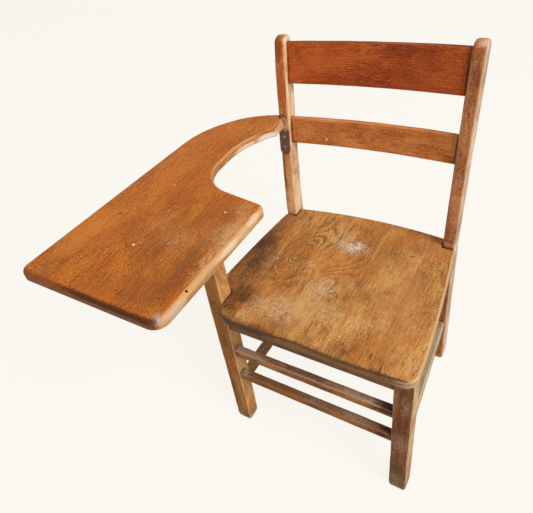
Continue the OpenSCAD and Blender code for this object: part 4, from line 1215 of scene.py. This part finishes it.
tabletWood = woodMaterial("tabletWood", {
    "pale": (222, 134, 48), "mid": (190, 106, 36), "deep": (132, 68, 24), "warm": (204, 106, 34),
    "worn": (222, 176, 122), "soil": (60, 34, 20), "pith": (-0.24, -0.3), "bands": 0.1, "fibre": 1.1,
    "speckle": 2.9, "blotch": 0.55, "blotchScale": 15, "wearAmount": 0.7, "pits": 0.9, "rough": 0.42,
    "coat": 0.07, "gloss": 0.055, "flecks": 0.14, "seams": ((tablet["joint"], 0, 200),), "seamAmount": 0.12,
    # painted shade on the front edge, painted light on the inner edge's side face turned to +x
    "faces": ((-yWay, (66, 36, 22), 0.85), (xWay, (220, 172, 120), 0.75)),
    "stains": (
        ((-165, -111, 700), (66, 120, 40), (150, 90, 44), 0.4),
        ((-160, -225, 700), (130, 44, 40), (144, 78, 34), 0.5),
        ((-106, -110, 700), (30, 130, 40), (130, 82, 48), 0.6),
        ((-200, 0, 700), (18, 80, 40), (150, 84, 36), 0.4, 24),
        ((-252, -98, 700), (18, 76, 40), (150, 84, 36), 0.4, 30),
        ((-130, -200, 700), (80, 60, 40), (142, 78, 38), 0.65),
        ((-130, -10, 700), (50, 50, 40), (150, 84, 44), 0.5),
        ((-330, -130, 700), (40, 120, 40), (226, 140, 54), 0.6),
        ((-290, 60, 700), (30, 120, 40), (216, 128, 48), 0.5),
        ((-80, -40, 700), (22, 60, 40), (214, 166, 112), 0.6),
        # painted highlight on the rounded inner front corner, here and on the next line
        ((-75, -248, 698), (13, 18, 14), (190, 172, 164), 0.85, 30),
        ((-67, -222, 694), (7, 34, 10), (222, 200, 182), 0.6),
        ((-178, 308, 694), (16, 26, 12), (206, 168, 128), 0.8),
        ((-196, 296, 688), (50, 46, 7), (226, 194, 154), 0.8),
    ),
    "scars": (
        ("scuff", (-150, -90, 700), (50, 50, 40), (214, 164, 116), 0.35),
        ("scuff", (-78, -90, 700), (15, 120, 40), (222, 178, 124), 0.9),
        ("scuff", (-100, -60, 700), (26, 60, 40), (206, 158, 108), 0.5),
        ("scuff", (-90, 10, 700), (24, 30, 40), (216, 176, 130), 0.6),
        ("scuff", (-320, -262, 697), (110, 20, 8), (196, 104, 40), 0.8),
        ("chip", (-340, -262, 697), (90, 20, 5), (150, 80, 34), 0.5),
        ("scuff", (-90, -262, 684), (70, 20, 7), (150, 112, 84), 0.5),
        ("scuff", (-210, -60, 700), (40, 50, 40), (200, 150, 104), 0.35),
        # painted highlight along the arm's lower edge over rubbed wood, here and on the next two lines
        ("chip", (-196, 280, 687), (34, 34, 9), (244, 230, 210), 0.8),
        ("chip", (-216, 226, 686), (26, 44, 7), (244, 226, 200), 0.7, 14),
        ("scuff", (-228, 176, 686), (16, 36, 6), (240, 216, 184), 0.5, 6),
        ("chip", (-200, 288, 697.8), (46, 50, 1.1), (66, 36, 24), 0.9),
        # painted highlight on the arm's lower edge over rubbed wood
        ("scuff", (-204, 294, 684), (56, 50, 7), (244, 234, 218), 0.8),
        ("scuff", (-64, -60, 692), (8, 130, 9), (236, 206, 166), 0.7),
        # painted shade on the lower part of the inner edge
        ("scuff", (-66, -130, 688), (8, 120, 9), (150, 98, 58), 0.6),
        ("chip", (-66, 0, 696), (7, 26, 6), (238, 218, 190), 0.5),
        ("chip", (-65, -76, 694), (7, 34, 7), (240, 218, 190), 0.5),
        ("chip", (-65, -130, 692), (7, 20, 7), (190, 140, 98), 0.5),
        ("chip", (-66, -216, 691), (8, 26, 8), (204, 182, 168), 0.55),
        ("chip", (-221, -131, 700), (3, 3.4, 30), (236, 220, 200), 0.95),
        ("chip", (-214, -122, 700), (1.6, 1.8, 30), (226, 200, 170), 0.7),
        ("chip", (-236, -140, 700), (1.6, 1.6, 30), (220, 190, 156), 0.6),
        ("chip", (-118, -1, 700), (2.4, 2.6, 30), (236, 220, 200), 0.95),
        ("chip", (-263, 42, 700), (2.2, 2.4, 30), (226, 200, 170), 0.7),
        ("chip", (-221, -32, 700), (2.0, 2.2, 30), (226, 200, 170), 0.6),
        ("chip", (-306, -68, 700), (6, 2.4, 30), (84, 46, 26), 0.8, 30),
        ("chip", (-163, -105, 700), (0.9, 9, 30), (226, 190, 150), 0.7, -12),
        ("chip", (-154, -100, 700), (0.8, 8, 30), (226, 190, 150), 0.6, -10),
        ("chip", (-172, -98, 700), (0.8, 6, 30), (226, 190, 150), 0.6, -14),
        ("chip", (-165, -227, 700), (1.4, 10, 30), (70, 38, 22), 0.85, -14),
        ("chip", (-70.5, -186, 699), (2.6, 2.8, 8), (30, 18, 14), 1.0),
    ),
})


def makeTablet():
    outline, endFront, endRear = tabletOutline()
    top = chair["tabletHeight"]
    run = (endRear - endFront).normalized()
    slope = Vector((run.y, -run.x, 1)).normalized()
    for name, node, way in (("tabletMainBoard", "tablet_outer_board", xWay),
                            ("tabletInnerBoard", "tablet_inner_board", -xWay)):
        bm = newMesh()
        slab(bm, outline, lambda x, y: top, top - chair["tabletThick"], tabletEdge,
             lambda p, w: tablet["underRound"], tabletRub, tablet["grid"], tablet["step"], tablet["band"],
             tablet["turns"])
        saw(bm, (tablet["joint"], 0, 0), way)
        if way.x > 0:
            saw(bm, (endFront.x, endFront.y, top - tablet["bevel"]), slope)
        finishPiece(bm, name, tabletWood, node, lambda p: (p.x, p.z - top, p.y))


makeTablet()
print("tablet made")

# Iron bracket on the right back post
iron = {
    "thick": 2.5, "drop": 70, "reach": 52, "earHeight": 16, "earIn": 5, "earOut": 8, "taper": 4,
    "pitch": 25, "lowerBy": 5, "way": (-0.62, -0.78), "round": 0.7, "underRound": 0.3, "rub": 0.5,
}
ironFinish = metalMaterial("bracketIron", {
    "dark": (106, 66, 54), "rust": (150, 100, 76), "rough": 0.45, "metal": 0.2, "bump": 0.4, "lift": 0.0004,
    # the colour above bendAt is a painted highlight on the bend and painted light on the ear
    "bendAt": 671, "bendHighlight": (206, 166, 132),
})
steelFinish = metalMaterial("screwSteel", {
    "dark": (176, 156, 140), "rust": (160, 116, 88), "rough": 0.35, "metal": 0.4, "bump": 0.4,
    "lift": 0.0004,
})
bracketTop = chair["tabletHeight"] - chair["tabletThick"]
bracketMid = bracketTop - iron["drop"] / 2
onPlate = (Matrix.Translation((-postCx(bracketMid), postFront(bracketMid), bracketMid))
           @ Matrix.Rotation(-postTilt(bracketMid), 4, "X")
           @ Matrix.Rotation(math.radians(-posts["splay"]), 4, "Y") @ Matrix.Rotation(math.pi / 2, 4, "X"))
legRoot = Vector((-postCx(bracketTop), postFront(bracketTop - iron["thick"])))
legWay = Vector(iron["way"]).normalized()


def flatPiece(bm, outline, top, under, place):      # cut from thin plate, with broken edges
    before = set(bm.verts)
    slab(bm, outline, lambda x, y: top, under, lambda p, w: iron["round"], lambda p, w: iron["underRound"],
         lambda p, w: iron["rub"], grid=6, step=4, band=1.0, turns=3, soften=1)
    for v in bm.verts:
        if v not in before:
            v.co = place @ v.co


def makeBracket():
    s = iron
    bm = newMesh()
    half, w, t = s["drop"] / 2, posts["width"] / 2, s["thick"]
    ear = half + s["earHeight"]
    outline = arc((0, w - half), w, 180, 360, 16)
    outline += [Vector(p) for p in ((w, half - t / 2), (s["earOut"], half - t / 2 + 1),
                                    (s["earOut"] - s["taper"], ear), (-s["earIn"], ear),
                                    (-s["earIn"], half - t / 2 + 1), (-w, half - t / 2))]
    flatPiece(bm, outline, t, 0, onPlate)
    side = Vector((legWay.y, -legWay.x))
    tip = legRoot + legWay * s["reach"]
    rear = legRoot - Vector((0, t / 2))
    outline = [rear + Vector((w, 0)), rear - Vector((w, 0)), tip + side * w, tip - side * w]
    flatPiece(bm, outline, bracketTop, bracketTop - t, Matrix())
    finishPiece(bm, "armBracket", ironFinish, "arm_bracket", lambda p: p)


makeBracket()

# Slotted round heads
screws = {
    "head": 4.0, "height": 2.4, "shank": 2.0, "slotWidth": 1.0, "slotDepth": 1.1, "bite": 12,
    "cuts": 32, "domeAngles": (18, 34, 50, 64, 76), "rub": 0.3,
}


def roundHead():
    s = screws
    bm = newMesh()
    steps = [(s["shank"], -s["bite"]), (s["shank"], -0.2), (s["head"] * 0.96, -0.2), (s["head"], 0.15)]
    steps += [(s["head"] * math.cos(a), s["height"] * math.sin(a))
              for a in map(math.radians, s["domeAngles"])]
    turns = [2 * math.pi * k / s["cuts"] for k in range(s["cuts"])]
    closeSkin(bm, [[addVert(bm, (r * math.cos(a), r * math.sin(a), z), s["rub"]) for a in turns]
                   for r, z in steps])
    bmesh.ops.recalc_face_normals(bm, faces=bm.faces)
    head = addObject("head", toMesh(bm, "head"))
    bm = bmesh.new()
    bmesh.ops.create_cube(bm, size=1, matrix=Matrix.Translation((0, 0, s["height"])) @ Matrix.Diagonal(
        (s["head"] * 3, s["slotWidth"], s["slotDepth"] * 2, 1)))
    slot = addObject("slot", toMesh(bm, "slot"))
    cut = head.modifiers.new("slot", "BOOLEAN")
    cut.object, cut.operation, cut.solver = slot, "DIFFERENCE", "EXACT"
    done = bpy.data.meshes.new_from_object(head.evaluated_get(bpy.context.evaluated_depsgraph_get()))
    for o in (head, slot):
        bpy.data.objects.remove(o)
    return done


def screwSet(name, node, spots):        # each spot is (place, turn of the slot)
    head = roundHead()
    bm = newMesh()
    for spot, turn in spots:
        one = head.copy()
        one.transform(spot @ Matrix.Rotation(math.radians(turn), 4, "Z"))
        bm.from_mesh(one)
        bpy.data.meshes.remove(one)
    finishPiece(bm, name, steelFinish, node, lambda p: p)


def inPlate(up):
    return onPlate @ Matrix.Translation((0, up * iron["pitch"] / 2 - iron["lowerBy"], iron["thick"]))


def inLeg(share):       # from below, at a share of the leg's reach
    p = legRoot + legWay * iron["reach"] * share
    return Matrix.Translation((p.x, p.y, bracketTop - iron["thick"])) @ Matrix.Rotation(math.pi, 4, "X")


screwSet("plateScrews", "bracket_post_screws", ((inPlate(1), 62), (inPlate(-1), -24)))
screwSet("armScrews", "bracket_arm_screws", ((inLeg(0.5), 15), (inLeg(0.85), 80)))
print("bracket made")

# Inner pieces keep their own shapes and get a finish; their wood lines run as the axis says
innerLook = {
    "pale": (216, 176, 120), "mid": (186, 142, 88), "deep": (140, 98, 56), "grimeAmount": 0.5,
    "warmAmount": 0.2, "rough": 0.65,
}
innerFinishes = {
    woodMaterial("innerWoodX", innerLook, "x"): (
        "rail_dowels", "corner_block_front_right", "corner_block_front_left", "corner_block_rear_right",
        "corner_block_rear_left", "tablet_cleat"),
    woodMaterial("innerWoodZ", innerLook, "z"): ("tablet_post_dowel",),
    steelFinish: ("block_screws", "seat_screws", "cleat_screws"),
}
for finish, nodes in innerFinishes.items():
    for node in nodes:
        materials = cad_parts[node].data.materials
        materials.clear()
        materials.append(finish)
print("inner pieces finished")

# Pale floor, and soft light from above and from the sitter's left
studio = {
    "paper": (249, 246, 239), "glow": 1.045, "floorSize": 14, "floorZ": -0.0005, "shade": 0.1,
    "bounce": (190, 188, 184), "world": 0.42,
    "lamps": (      # name, place, aim, size, power
        ("keyLamp", (3.95, -1.4, 4.4), (0.0, 0.0, 0.45), 2.4, 240),
        ("frontLamp", (-0.8, -5.2, 3.0), (0.0, 0.0, 0.45), 4.0, 26),
    ),
}


def plainSight(tree):       # 1 where the eye, a reflection or clear glass looks straight at the background
    path = addNode(tree, "ShaderNodeLightPath").outputs
    return calc("MAXIMUM", path["Is Camera Ray"],
                calc("MAXIMUM", path["Is Glossy Ray"], path["Is Transmission Ray"]))


def blend(share, first, second):
    both = addNode(share.id_data, "ShaderNodeMixShader", Fac=share)
    setInputs(both, {1: first.outputs[0], 2: second.outputs[0]})
    return both


def makeStudio(s):
    paper = tone(*s["paper"])
    world = bpy.data.worlds.new("studioWorld")
    bpy.context.scene.world = world
    world.use_nodes = True
    tree = world.node_tree
    tree.nodes.clear()
    seen = addNode(tree, "ShaderNodeBackground", Color=paper, Strength=1.0)
    soft = addNode(tree, "ShaderNodeBackground", Color=(1, 1, 1, 1), Strength=s["world"])
    both = blend(plainSight(tree), soft, seen)
    tree.links.new(both.outputs[0], addNode(tree, "ShaderNodeOutputWorld").inputs[0])

    # the floor glows paper white to the camera, and takes a little of the chair's shadow
    mat, tree = emptyMaterial("paperFloor")
    seen = plainSight(tree)
    lit = addNode(tree, "ShaderNodeBsdfDiffuse", Color=mixTone(seen, tone(*s["bounce"]), paper))
    glow = addNode(tree, "ShaderNodeEmission", Color=paper, Strength=s["glow"])
    both = blend(times(seen, 1 - s["shade"]), lit, glow)
    below = addNode(tree, "ShaderNodeNewGeometry").outputs["Backfacing"]
    clear = addNode(tree, "ShaderNodeBsdfTransparent")      # so that the chair can be seen from below
    oneWay = blend(times(seen, below), both, clear)
    tree.links.new(oneWay.outputs[0], addNode(tree, "ShaderNodeOutputMaterial").inputs[0])
    bm = bmesh.new()
    bmesh.ops.create_grid(bm, x_segments=1, y_segments=1, size=s["floorSize"] / 2)
    mesh = toMesh(bm, "paperFloor")
    mesh.materials.append(mat)
    floor = addObject("paperFloor", mesh)
    floor.location.z = s["floorZ"]
    for name, place, aim, size, power in s["lamps"]:
        data = bpy.data.lights.new(name, "AREA")
        data.size, data.energy = size, power
        lamp = addObject(name, data)
        lamp.location = place
        lamp.rotation_euler = (Vector(aim) - Vector(place)).to_track_quat("-Z", "Y").to_euler()
    bpy.context.scene.view_settings.view_transform = "Standard"


makeStudio(studio)
print("studio set")
